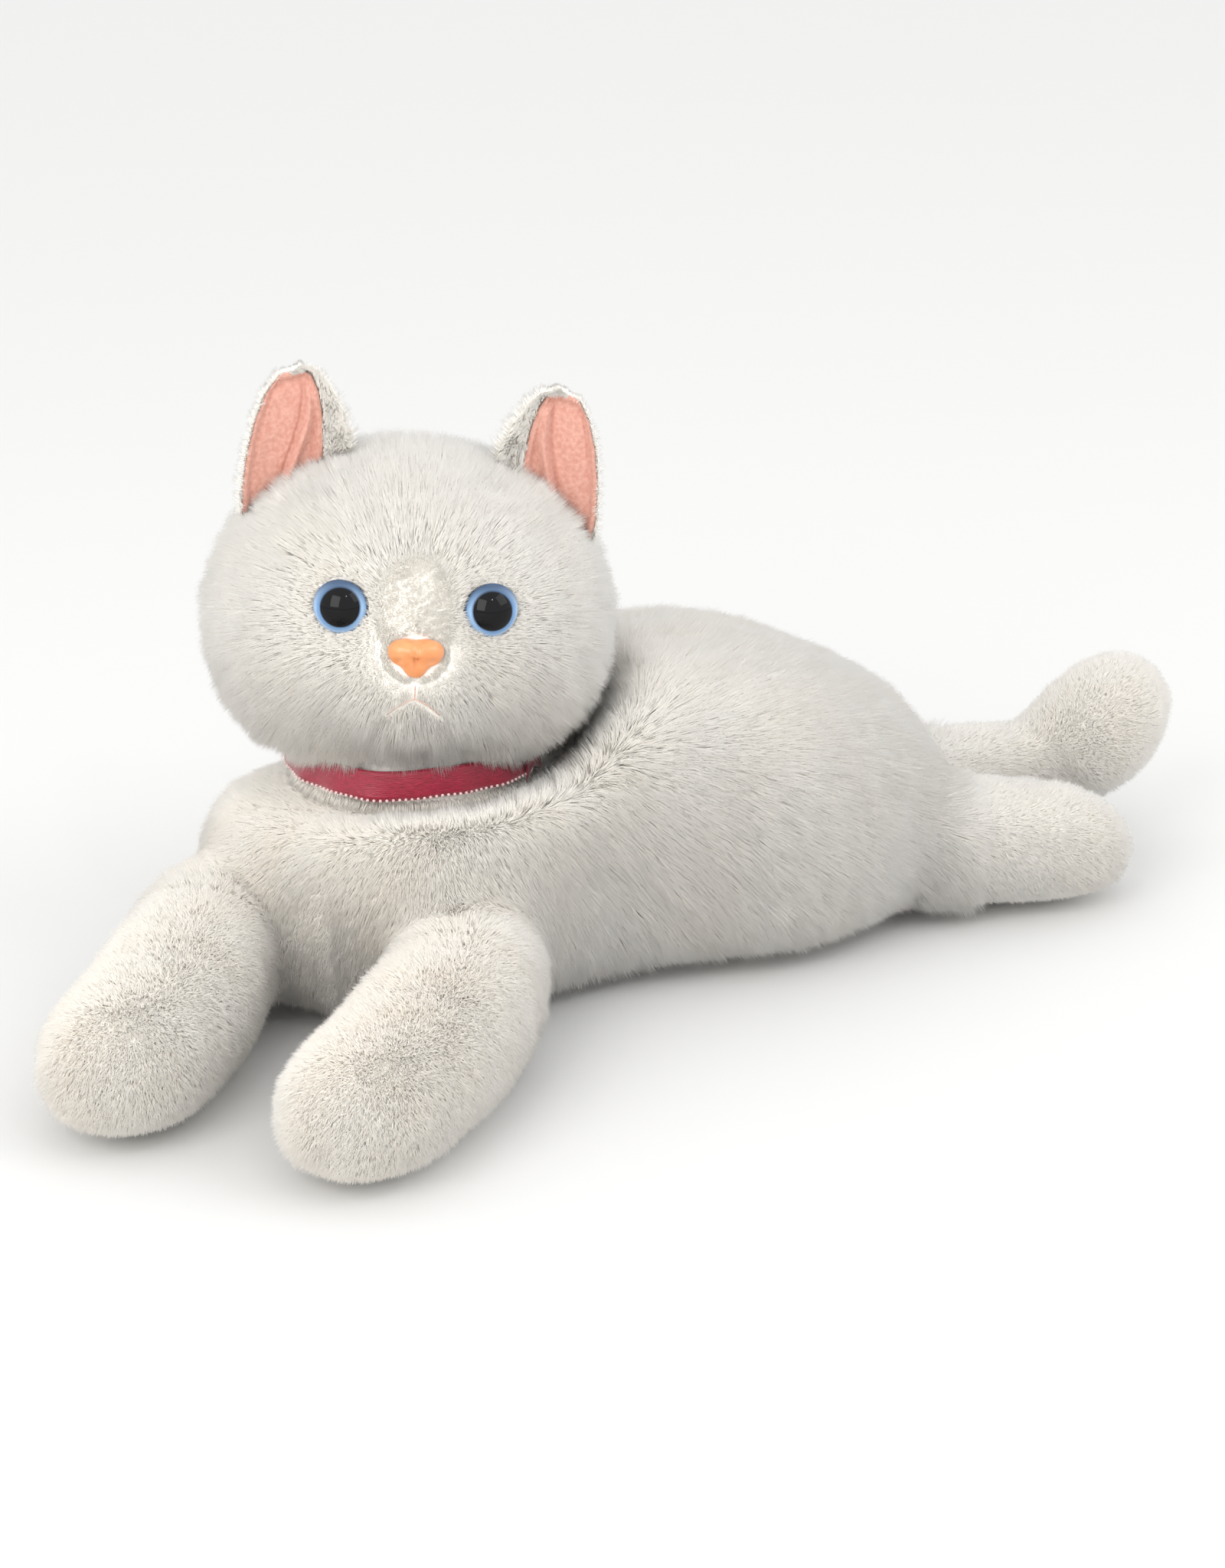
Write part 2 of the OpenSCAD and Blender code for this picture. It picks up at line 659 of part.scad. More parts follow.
module tail_tip_stuffing() {
    translate(origin_shift) color(filling) filled(tail_tip, 10, 16, cover_t + 0.9);
}

torso_left_panel();
torso_right_panel();
torso_belly_panel();
torso_stuffing();
torso_bead_bag();
neck_cover();
neck_stuffing();
ribbon_collar();
ribbon_ends();
head_left_panel();
head_right_panel();
head_crown_gusset();
head_nose_bridge();
head_chin_gusset();
head_stuffing();
left_eye_dome();
left_eye_iris();
left_eye_pupil();
left_eye_stem();
left_eye_washer();
right_eye_dome();
right_eye_iris();
right_eye_pupil();
right_eye_stem();
right_eye_washer();
nose();
nose_washer();
mouth_thread();
left_ear_back();
left_ear_lining();
right_ear_back();
right_ear_lining();
front_left_leg_top();
front_left_leg_under();
front_left_leg_stuffing();
front_left_paw_beads();
front_right_leg_top();
front_right_leg_under();
front_right_leg_stuffing();
front_right_paw_beads();
hind_left_leg_top();
hind_left_leg_under();
hind_left_leg_stuffing();
hind_left_paw_beads();
hind_right_leg_top();
hind_right_leg_under();
hind_right_leg_stuffing();
hind_right_paw_beads();
tail_base_top();
tail_base_under();
tail_base_stuffing();
tail_tip_top();
tail_tip_under();
tail_tip_stuffing();
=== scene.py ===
import json
import math

import bpy
import numpy as np
from mathutils import Matrix, Vector
from mathutils.kdtree import KDTree

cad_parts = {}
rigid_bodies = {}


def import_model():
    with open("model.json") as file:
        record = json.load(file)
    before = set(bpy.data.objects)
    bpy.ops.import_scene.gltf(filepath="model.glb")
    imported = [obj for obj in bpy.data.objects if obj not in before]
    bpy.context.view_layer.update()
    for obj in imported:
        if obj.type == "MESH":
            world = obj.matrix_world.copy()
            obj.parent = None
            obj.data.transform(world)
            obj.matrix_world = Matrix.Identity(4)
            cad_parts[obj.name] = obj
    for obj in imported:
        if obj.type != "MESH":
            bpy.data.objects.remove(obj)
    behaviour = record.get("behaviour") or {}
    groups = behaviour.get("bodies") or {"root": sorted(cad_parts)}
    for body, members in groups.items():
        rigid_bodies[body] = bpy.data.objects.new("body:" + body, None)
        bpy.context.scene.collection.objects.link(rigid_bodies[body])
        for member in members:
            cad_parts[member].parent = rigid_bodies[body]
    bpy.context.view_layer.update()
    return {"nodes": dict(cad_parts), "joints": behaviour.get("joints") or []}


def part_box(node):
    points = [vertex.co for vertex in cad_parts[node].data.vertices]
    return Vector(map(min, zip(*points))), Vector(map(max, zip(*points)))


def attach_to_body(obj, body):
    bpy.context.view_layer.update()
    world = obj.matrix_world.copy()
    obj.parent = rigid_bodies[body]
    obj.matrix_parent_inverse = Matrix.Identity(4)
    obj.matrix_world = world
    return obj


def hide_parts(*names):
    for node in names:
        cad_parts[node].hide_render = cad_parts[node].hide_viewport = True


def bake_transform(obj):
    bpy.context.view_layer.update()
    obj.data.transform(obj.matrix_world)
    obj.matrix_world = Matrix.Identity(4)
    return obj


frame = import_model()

# Shapes are worked out in millimetres with the neck axis at x = y = 0, as in part.scad, and shifted here.
SHIFT = np.array([-53.0, -42.0, 0.0])
HEAD = np.array([0.0, 0.0, 127.0])
HEAD_HALF = np.array([64.0, 54.0, 53.0])
HEAD_YAW = math.radians(45)
HEAD_TILT = math.radians(3)
EAR_LEAN = {1: math.radians(6), -1: math.radians(0.5)}
FLOOR = 0.6  # lowest point of every skin, just clear of the floor
UP = np.array([0.0, 0.0, 1.0])
rng = np.random.default_rng(11)


def unit(v):
    return v / np.maximum(np.linalg.norm(v, axis=-1, keepdims=True), 1e-9)


def ramp(lo, hi, x):
    t = np.clip((x - lo) / (hi - lo), 0, 1)
    return t * t * (3 - 2 * t)


def metres(p):
    return (np.asarray(p, float) + SHIFT) * 0.001


def about(axis, angle):
    return np.array(Matrix.Rotation(angle, 3, axis))


HEAD_TURN = about("Z", HEAD_YAW) @ about("Y", HEAD_TILT)


def from_head(p):
    """Points in the head's own axes, face towards -Y, to the cat's."""
    return np.asarray(p) @ HEAD_TURN.T + HEAD


def to_head(p):
    return (np.asarray(p) - HEAD) @ HEAD_TURN


def turn_head(v):
    return from_head(v) - HEAD


def waves(p, size, seed):
    """Smooth noise from -1 to 1 with features about size millimetres across."""
    r = np.random.default_rng(seed)
    k = r.normal(size=(5, 3)) * 2.2 / size
    return np.sin(p @ k.T + r.uniform(0, 6.28, 5)).mean(1) * 1.8


# ---------------------------------------------------------------- materials


def material(name, colour, rough=0.8, **sockets):
    m = bpy.data.materials.new(name)
    m.use_nodes = True
    b = m.node_tree.nodes["Principled BSDF"]
    b.inputs["Base Color"].default_value = (*colour, 1)
    b.inputs["Roughness"].default_value = rough
    for k, v in sockets.items():
        b.inputs[k.replace("_", " ")].default_value = v
    return m


def textured(m, colour_a, colour_b, scale, bump, stretch=(1, 1, 1)):
    """Noise between two colours, and the same noise as bump."""
    nt = m.node_tree
    b = nt.nodes["Principled BSDF"]
    coord = nt.nodes.new("ShaderNodeTexCoord")
    mapping = nt.nodes.new("ShaderNodeMapping")
    mapping.inputs["Scale"].default_value = stretch
    noise = nt.nodes.new("ShaderNodeTexNoise")
    noise.inputs["Scale"].default_value = scale
    noise.inputs["Detail"].default_value = 3.0
    ramp_node = nt.nodes.new("ShaderNodeValToRGB")
    for element, position, colour in zip(ramp_node.color_ramp.elements, (0.35, 0.65), (colour_a, colour_b)):
        element.position = position
        element.color = (*colour, 1)
    nt.links.new(coord.outputs["Object"], mapping.inputs["Vector"])
    nt.links.new(mapping.outputs["Vector"], noise.inputs["Vector"])
    nt.links.new(noise.outputs["Fac"], ramp_node.inputs["Fac"])
    nt.links.new(ramp_node.outputs["Color"], b.inputs["Base Color"])
    bump_node = nt.nodes.new("ShaderNodeBump")
    bump_node.inputs["Strength"].default_value = bump
    bump_node.inputs["Distance"].default_value = 0.0006
    nt.links.new(noise.outputs["Fac"], bump_node.inputs["Height"])
    nt.links.new(bump_node.outputs["Normal"], b.inputs["Normal"])
    return m


def fur_tints(name, tones):
    """Plain materials, one for each tint that the strands of a pile are shared between."""
    return [material(f"{name} {i}", tone, 0.75, Sheen_Weight=0.25, Sheen_Roughness=0.5)
            for i, tone in enumerate(tones)]


BACKING = textured(material("pile backing", (0.8, 0.76, 0.7), 0.95, Sheen_Weight=0.3),
                   (0.90, 0.87, 0.82), (0.97, 0.95, 0.91), 900, 0.6)
VELOUR = textured(material("ear velour", (0.9, 0.5, 0.42), 0.9, Sheen_Weight=0.4, Sheen_Roughness=0.4),
                  (0.57, 0.27, 0.21), (0.66, 0.36, 0.29), 700, 0.5)
SATIN = textured(material("ribbon satin", (0.35, 0.01, 0.05), 0.38, Sheen_Weight=0.5, Anisotropic=0.5),
                 (0.22, 0.001, 0.015), (0.37, 0.004, 0.04), 500, 0.35, stretch=(1, 1, 6))
STITCH = textured(material("picot stitch", (0.8, 0.5, 0.5), 0.7),
                  (0.75, 0.42, 0.44), (0.9, 0.72, 0.70), 1500, 0.2)
THREAD = textured(material("mouth thread", (0.5, 0.3, 0.24), 0.8),
                  (0.55, 0.36, 0.29), (0.70, 0.50, 0.42), 1800, 0.3)
ORANGE = textured(material("nose plastic", (0.9, 0.36, 0.13), 0.3, Coat_Weight=0.4, Coat_Roughness=0.15),
                  (0.70, 0.25, 0.085), (0.78, 0.31, 0.12), 240, 0.06)
BLACK = textured(material("black plastic", (0.02, 0.02, 0.02), 0.4),
                 (0.015, 0.015, 0.016), (0.03, 0.03, 0.03), 300, 0.1)
WASHER = textured(material("washer plastic", (0.7, 0.7, 0.68), 0.5),
                  (0.66, 0.66, 0.64), (0.75, 0.75, 0.73), 200, 0.1)

# ---------------------------------------------------------------- meshes


def tri_mesh(name, verts, tris, mats, face_mat=None):
    """A triangle mesh from arrays in millimetres."""
    me = bpy.data.meshes.new(name)
    me.vertices.add(len(verts))
    me.vertices.foreach_set("co", metres(verts).astype(np.float32).ravel())
    me.loops.add(tris.size)
    me.loops.foreach_set("vertex_index", tris.astype(np.int32).ravel())
    me.polygons.add(len(tris))
    me.polygons.foreach_set("loop_start", np.arange(0, tris.size, 3, dtype=np.int32))
    if face_mat is not None:
        me.polygons.foreach_set("material_index", face_mat.astype(np.int32))
    me.polygons.foreach_set("use_smooth", np.full(len(tris), True))
    for m in mats:
        me.materials.append(m)
    me.update(calc_edges=True)
    ob = bpy.data.objects.new(name, me)
    bpy.context.scene.collection.objects.link(ob)
    return ob


def grid_tris(rows, cols, closed=True):
    """Triangles of a grid of rows by cols points, closed round its columns."""
    i, j = np.meshgrid(np.arange(rows - 1), np.arange(cols if closed else cols - 1), indexing="ij")
    a, b = i * cols + j, i * cols + (j + 1) % cols
    return np.stack([a, b, b + cols, a, b + cols, a + cols], -1).reshape(-1, 3)


def capsule(rings, first, last):
    """Closed mesh from rings of points and two poles."""
    m, k = rings.shape[:2]
    v = np.vstack([rings.reshape(-1, 3), first, last])
    j = np.arange(k)
    n = (j + 1) % k
    caps = [np.stack([n, j, np.full(k, m * k)], 1),
            np.stack([(m - 1) * k + j, (m - 1) * k + n, np.full(k, m * k + 1)], 1)]
    return v, np.vstack([grid_tris(m, k), *caps])


def row_at(rows, t):
    """The row at t along a smooth curve through the rows."""
    n = len(rows) - 1
    i = int(np.clip(math.floor(t), 0, n - 1))
    u = t - i
    a, b, c, d = rows[max(i - 1, 0)], rows[i], rows[i + 1], rows[min(i + 2, n)]
    return 0.5 * (2 * b + (c - a) * u + (2 * a - 5 * b + 4 * c - d) * u**2 + (3 * b - a - 3 * c + d) * u**3)


def bent(v, k):
    return np.sign(v) * np.abs(v) ** k


def loft(rows, cap0, cap1, square, depth, limit=None, rings=36, sides=40):
    """The same skin as in part.scad: rows of x, y, z, half width and half height."""
    rows = np.array(rows, float)
    n = len(rows) - 1
    a = np.arange(sides) * 2 * np.pi / sides
    out = []
    for t in n * (1 - np.cos(np.pi * np.arange(1, rings) / rings)) / 2:
        m = row_at(rows, t)
        d = unit(row_at(rows, t + 0.02)[:3] - row_at(rows, t - 0.02)[:3])
        side = unit(np.cross(d, UP))
        up = np.cross(side, d)
        op = 1.0
        if t < cap0:
            op = math.sqrt(max(0, 1 - (1 - t / cap0) ** 2))
        elif n - t < cap1:
            op = math.sqrt(max(0, 1 - (1 - (n - t) / cap1) ** 2))
        high = np.where(np.sin(a) < 0, min(m[4], 1.08 * m[2]), m[4]) - depth
        q = m[:3] + np.outer(bent(np.cos(a), square) * (m[3] - depth) * op, side)
        q = q + np.outer(bent(np.sin(a), square) * high * op, up)
        out.append(q)
    v, f = capsule(np.array(out), row_at(rows, 0)[:3], row_at(rows, n)[:3])
    if limit is not None:
        v[:, 2] = np.minimum(v[:, 2], limit(v))
    v[:, 2] = np.maximum(v[:, 2], FLOOR + depth)
    return v, f


def remeshed(parts, voxel):
    """One closed quad mesh round several overlapping closed meshes: points and quads."""
    v = np.vstack([p[0] for p in parts])
    at = np.cumsum([0] + [len(p[0]) for p in parts])
    f = np.vstack([p[1] + at[i] for i, p in enumerate(parts)])
    ob = tri_mesh("remesh", v, f, [])
    mod = ob.modifiers.new("remesh", "REMESH")
    mod.mode = "VOXEL"
    mod.voxel_size = voxel * 0.001
    return taken(ob)


def taken(ob):
    """The evaluated mesh of a scratch object as arrays in millimetres, and the object is removed."""
    me = ob.evaluated_get(bpy.context.evaluated_depsgraph_get()).to_mesh()
    v = np.empty(len(me.vertices) * 3)
    me.vertices.foreach_get("co", v)
    q = np.empty(len(me.loops), int)
    me.loops.foreach_get("vertex_index", q)
    total = np.empty(len(me.polygons), int)
    me.polygons.foreach_get("loop_total", total)
    start = np.cumsum(np.concatenate([[0], total[:-1]]))
    quads = np.stack([q[start], q[start + 1], q[start + 2], q[np.where(total == 4, start + 3, start)]], 1)
    v = v.reshape(-1, 3) * 1000 - SHIFT
    bpy.data.objects.remove(ob)
    return v, quads


def quad_object(name, v, quads, mats):
    me = bpy.data.meshes.new(name)
    me.from_pydata(metres(v).tolist(), [], [list(dict.fromkeys(q)) for q in quads.tolist()])
    me.polygons.foreach_set("use_smooth", np.full(len(me.polygons), True))
    for m in mats:
        me.materials.append(m)
    me.update()
    ob = bpy.data.objects.new(name, me)
    bpy.context.scene.collection.objects.link(ob)
    return ob


def smoothed(v, quads, times, strength=0.6):
    e = np.vstack([quads[:, [0, 1]], quads[:, [1, 2]], quads[:, [2, 3]], quads[:, [3, 0]]])
    e = e[e[:, 0] != e[:, 1]]
    i, j = np.concatenate([e[:, 0], e[:, 1]]), np.concatenate([e[:, 1], e[:, 0]])
    count = np.maximum(np.bincount(i, minlength=len(v)), 1)[:, None]
    for _ in range(times):
        mean = np.stack([np.bincount(i, v[j, k], len(v)) for k in range(3)], 1) / count
        v = v + (mean - v) * strength
    return v


def stuffed(v, quads, cap):
    """Swells a sewn cover by cloth simulation, no point further than cap millimetres."""
    ob = quad_object("cloth", v, quads, [])
    mod = ob.modifiers.new("cloth", "CLOTH")
    s = mod.settings
    s.quality = 5
    s.mass = 0.3
    s.tension_stiffness = s.compression_stiffness = s.shear_stiffness = 15
    s.bending_stiffness = 2
    s.use_pressure = True
    s.uniform_pressure_force = 4.0
    s.effector_weights.gravity = 0
    scene = bpy.context.scene
    for f in range(1, 21):
        scene.frame_set(f)
    new, _ = taken(ob)
    scene.frame_set(1)
    d = new - v
    far = np.linalg.norm(d, axis=1, keepdims=True)
    return v + d * np.minimum(1, cap / np.maximum(far, 1e-9))


def divided(v, quads):
    ob = quad_object("subdivide", v, quads, [])
    ob.modifiers.new("subdivision", "SUBSURF").levels = 1
    return taken(ob)


def normals_of(v, quads):
    a, b, c, d = (v[quads[:, k]] for k in range(4))
    n = np.cross(c - a, d - b)
    out = np.zeros_like(v)
    for k in range(4):
        for x in range(3):
            out[:, x] += np.bincount(quads[:, k], n[:, x], len(v))
    return unit(out)


# ---------------------------------------------------------------- body

# Each skin: rows of x, y, z, half width, half height; rounded start, rounded end, squareness.
TORSO = ([[6, -73, 24, 46, 32], [8, -53, 28, 63, 44], [12, -16, 33, 70, 58], [21, 24, 32, 61, 62],
          [35, 64, 30, 68, 72], [50, 102, 29, 77, 72], [62, 136, 27, 66, 60], [69, 160, 26, 48, 48],
          [73, 175, 26, 32, 34]], 1.2, 1.2, 0.8)
# The first row of each limb lies inside what it is sewn to, so that the two grow together.
LIMBS = {
    "front_left_leg": ([[67, -36, 28, 24, 26], [80, -63, 27, 26, 25], [89, -86, 26, 29, 27],
                        [99, -118, 24, 28, 26], [110, -165, 23, 27, 25]], 0.7, 0.6, 0.9),
    "front_right_leg": ([[-27, -58, 28, 25, 26], [-15, -85, 27, 25, 25], [0, -109, 26, 28, 27],
                         [18, -143, 24, 28, 26], [36, -188, 23, 27, 25]], 0.7, 0.6, 0.9),
    "hind_left_leg": ([[104, 137, 25, 24, 24], [116, 155, 24, 25, 23], [125, 168, 24, 26, 23],
                       [140, 188, 22, 25, 22], [156, 209, 21, 24, 20]], 0.8, 1.0, 0.9),
    "hind_right_leg": ([[3, 140, 25, 25, 24], [-5, 163, 24, 25, 23], [-10, 182, 24, 26, 23],
                        [-15, 206, 22, 25, 22], [-22, 236, 21, 24, 20]], 0.8, 0.8, 0.9),
    "tail_base": ([[74, 172, 27, 20, 24], [82, 191, 27, 20, 24], [92, 210, 27, 21, 25],
                   [102, 229, 30, 21, 24]], 0.9, 1.0, 1.0),
    "tail_tip": ([[101, 226, 30, 21, 22], [106, 237, 35, 21, 21], [115, 249, 47, 24, 24],
                  [127, 263, 70, 24, 23]], 0.9, 1.1, 1.0),
}
NODES_OF = {
    "torso": ["torso_left_panel", "torso_right_panel", "torso_belly_panel", "torso_stuffing",
              "torso_bead_bag"],
    "tail_base": ["tail_base_top", "tail_base_under", "tail_base_stuffing"],
    "tail_tip": ["tail_tip_top", "tail_tip_under", "tail_tip_stuffing"],
}
for leg in list(LIMBS)[:4]:
    side = leg[:-4]
    NODES_OF[leg] = [f"{side}_{part}" for part in ("leg_top", "leg_under", "leg_stuffing", "paw_beads")]


def dish(v):
    """Highest the torso reaches under the head, as in part.scad."""
    r = np.linalg.norm(v[:, :2], axis=1)
    under = 123 - 53 * np.sqrt(np.clip(1 - (r / 69) ** 2, 0, 1))
    return np.where(r > 69, 999, np.minimum(65.5 + np.maximum(0, r - 58) * 2, under)) - 0.5


def spine(rows):
    rows = np.array(rows, float)
    n = len(rows) - 1
    return np.array([row_at(rows, t)[:3] for t in np.linspace(0, n, 12 * n + 1)])


def joint_frame(body):
    """Pivot of the joint that carries a limb, the way the limb points from it, and the parent body."""
    j = next(j for j in frame["joints"] if j["child"] == body)
    pivot = np.array(j["pos_m"]) * 1000 - SHIFT
    line = spine(LIMBS[body][0])
    k = int(np.argmin(np.linalg.norm(line[:, :2] - pivot[:2], axis=1)))
    k = min(max(k, 1), len(line) - 2)
    return pivot, unit(line[k + 1] - line[k - 1]), j["parent"]


INSET = 1.5  # how far the backing cloth lies inside the CAD covers
body_parts = [loft(*TORSO, INSET, dish, 60, 72)]
body_parts += [loft(*skin, INSET, None, 40, 40) for skin in LIMBS.values()]
body_v, body_q = remeshed(body_parts, 4.5)
body_v = smoothed(body_v, body_q, 3)
body_v = stuffed(body_v, body_q, 3.0)
body_v[:, 2] = np.minimum(body_v[:, 2], dish(body_v) + 1.5)
body_v = smoothed(body_v, body_q, 12)
body_v, body_q = divided(body_v, body_q)
body_v[:, 2] = np.maximum(body_v[:, 2], FLOOR)

# Which body each place of the skin belongs to: past the plane just inside a limb's root, near its line.
region = np.zeros(len(body_v), int)
REGIONS = ["torso", *LIMBS]
for k, (body, (rows, *_)) in enumerate(LIMBS.items(), 1):
    pivot, along, _parent = joint_frame(body)
    line = spine(rows)
    near = np.min([np.linalg.norm((body_v - p) * [1, 1, 0.6], axis=1) for p in line[::3]], axis=0)
    inside = ((body_v - pivot) @ along > -14) & (near < 46)
    if body == "tail_tip":
        inside &= region == REGIONS.index("tail_base")
        inside |= ((body_v - pivot) @ along > -9) & (near < 40)
        region[inside] = k
    else:
        region[inside & (region == 0)] = k


# Lengths in millimetres before and after the joint that carries each cover.
BEND = dict.fromkeys(LIMBS, (10, 26)) | {"tail_base": (12, 16), "tail_tip": (8, 12)}


def attach(ob, body):
    """Rides on its body; a limb's piece keeps its place, with its transform applied."""
    if body not in LIMBS:
        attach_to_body(ob, body)
        return
    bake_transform(ob)


def part_of(v, quads, keep):
    """The faces of a mesh that are kept, with their own points."""
    q = quads[keep]
    used, q = np.unique(q, return_inverse=True)
    return v[used], q.reshape(-1, 4)


face_region = np.max(region[body_q], axis=1)
for k, body in enumerate(REGIONS):
    v, q = part_of(body_v, body_q, face_region == k)
    ob = quad_object(f"{body}_cover", v, q, [BACKING])
    attach(ob, body)
    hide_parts(*NODES_OF[body])

# ---------------------------------------------------------------- head

# Places on the head, in its own axes, that stand out or in: direction, tightness, amount.
BUMPS = [((0.72, -0.52, -0.42), 7, 0.045), ((-0.72, -0.52, -0.42), 7, 0.045),
         ((0.16, -0.94, -0.26), 22, 0.075), ((-0.16, -0.94, -0.26), 22, 0.075),
         ((0.38, -0.88, 0.27), 40, -0.045), ((-0.38, -0.88, 0.27), 40, -0.045),
         ((0, -0.72, -0.69), 14, -0.03)]
# Finer shaping that only the sewn cover has: mouth furrow, pads beside it, chin, bridge, brows and jowls.
FINE = [((0, -0.93, -0.36), 260, -0.030),
        ((0.17, -0.92, -0.35), 90, 0.016), ((-0.17, -0.92, -0.35), 90, 0.016),
        ((0, -0.86, -0.50), 90, 0.020), ((0, -0.97, 0.20), 60, 0.014),
        ((0.36, -0.80, 0.48), 60, 0.012), ((-0.36, -0.80, 0.48), 60, 0.012),
        ((0.66, -0.42, -0.62), 8, 0.055), ((-0.66, -0.42, -0.62), 8, 0.055)]


def head_surface(d, depth=0.0, fine=True):
    """Points of the head in its own axes, along the unit vectors d."""
    s = np.ones(d.shape[:-1])
    for c, k, amount in BUMPS + (FINE if fine else []):
        s = s + amount * np.exp(-k * (1 - d @ unit(np.array(c, float))))
    q = d * HEAD_HALF * s[..., None]
    return q - unit(q) * depth


def face_point(x, z):
    """The place on the face at x, z, in the head's own axes."""
    lo, hi = -90.0, 0.0
    for _ in range(40):
        y = (lo + hi) / 2
        p = np.array([x, y, z])
        d = unit(p / HEAD_HALF)
        if np.linalg.norm(p) > np.linalg.norm(head_surface(d, 0, False)):
            lo = y
        else:
            hi = y
    return np.array([x, (lo + hi) / 2, z])


def head_mesh(depth, rings, sides):
    u = np.pi * np.arange(1, rings) / rings
    a = 2 * np.pi * np.arange(sides) / sides
    uu, aa = np.meshgrid(u, a, indexing="ij")
    d = np.stack([np.cos(uu), -np.sin(uu) * np.cos(aa), np.sin(uu) * np.sin(aa)], -1)
    ends = [head_surface(np.array([s, 0.0, 0.0]), depth) for s in (1, -1)]
    v, f = capsule(head_surface(d, depth), *ends)
    return from_head(v), f


head_v, head_q = remeshed([head_mesh(INSET, 60, 80)], 4.0)
head_v = stuffed(head_v, head_q, 2.0)
head_v = smoothed(head_v, head_q, 3)
head_v, head_q = divided(head_v, head_q)
# The face keeps its sculpted places after the swelling.
local = to_head(head_v)
sculpted = head_surface(unit(local / HEAD_HALF), 1.0)
front = ramp(0.3, 0.75, -unit(local)[:, 1])[:, None]
head_v = from_head(local * (1 - front) + sculpted * front)
head_cover = quad_object("head_cover", head_v, head_q, [BACKING])
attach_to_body(head_cover, "head")
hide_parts("head_left_panel", "head_right_panel", "head_crown_gusset", "head_nose_bridge",
            "head_chin_gusset", "head_stuffing")

# Neck: a short barrel between the dished shoulders and the underside of the head.
ring = np.linspace(0, 2 * np.pi, 96, endpoint=False)
barrel = []
for z, r in ((58, 20), (59, 33), (61, 38), (66, 39.2), (72, 39.4), (80, 39.4), (84, 38), (86, 33), (87, 20)):
    barrel.append(np.stack([r * np.cos(ring), r * np.sin(ring), np.full(96, z)], -1))
neck_v, neck_t = capsule(np.array(barrel), [0, 0, 57.5], [0, 0, 87.5])
neck = tri_mesh("neck_cover_cloth", neck_v, neck_t, [BACKING])
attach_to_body(neck, "neck")
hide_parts("neck_cover", "neck_stuffing")

# ---------------------------------------------------------------- pile

PIECE_STRANDS = 49500  # strands in one piece, so that none has over 200,000 faces
ROOT = 0.4  # how deep a strand starts below the backing


def roots_on(v, quads, per_mm2, weight=None):
    """Random places on a skin, with its smooth normals there."""
    tris = np.vstack([quads[:, [0, 1, 2]], quads[:, [0, 2, 3]]])
    n = normals_of(v, quads)
    a, b, c = (v[tris[:, k]] for k in range(3))
    area = np.linalg.norm(np.cross(b - a, c - a), axis=1) / 2
    pick = rng.choice(len(tris), int(area.sum() * per_mm2), p=area / area.sum())
    r1 = np.sqrt(rng.random(len(pick)))[:, None]
    r2 = rng.random(len(pick))[:, None]
    shares = (1 - r1, r1 * (1 - r2), r1 * r2)
    p, m = (sum(f[tris[pick, k]] * share for k, share in enumerate(shares)) for f in (v, n))
    m = unit(m)
    if weight is not None:
        keep = rng.random(len(p)) < weight(p, m)
        p, m, pick = p[keep], m[keep], pick[keep]
    return p, m, pick % len(quads)


def across(n, v):
    """The part of v that lies along the surface with normal n."""
    return v - n * np.sum(v * n, axis=1, keepdims=True)


def locks(p, size, seed):
    """Number of the lock that each root belongs to: cells of about size millimetres with wavy borders."""
    warp = np.stack([waves(p, size * 1.6, seed + k) for k in range(3)], -1) * size * 0.45
    turn = np.linalg.qr(np.random.default_rng(seed).normal(size=(3, 3)))[0]
    cell = np.floor((p + warp) @ turn / size).astype(np.int64)
    key = cell[:, 0] * 73856093 ^ cell[:, 1] * 19349663 ^ cell[:, 2] * 83492791
    return np.unique(key, return_inverse=True)[1]


def lock_mean(ids, f):
    count = np.bincount(ids)[:, None]
    return (np.stack([np.bincount(ids, f[:, k]) for k in range(f.shape[1])], 1) / count)[ids]


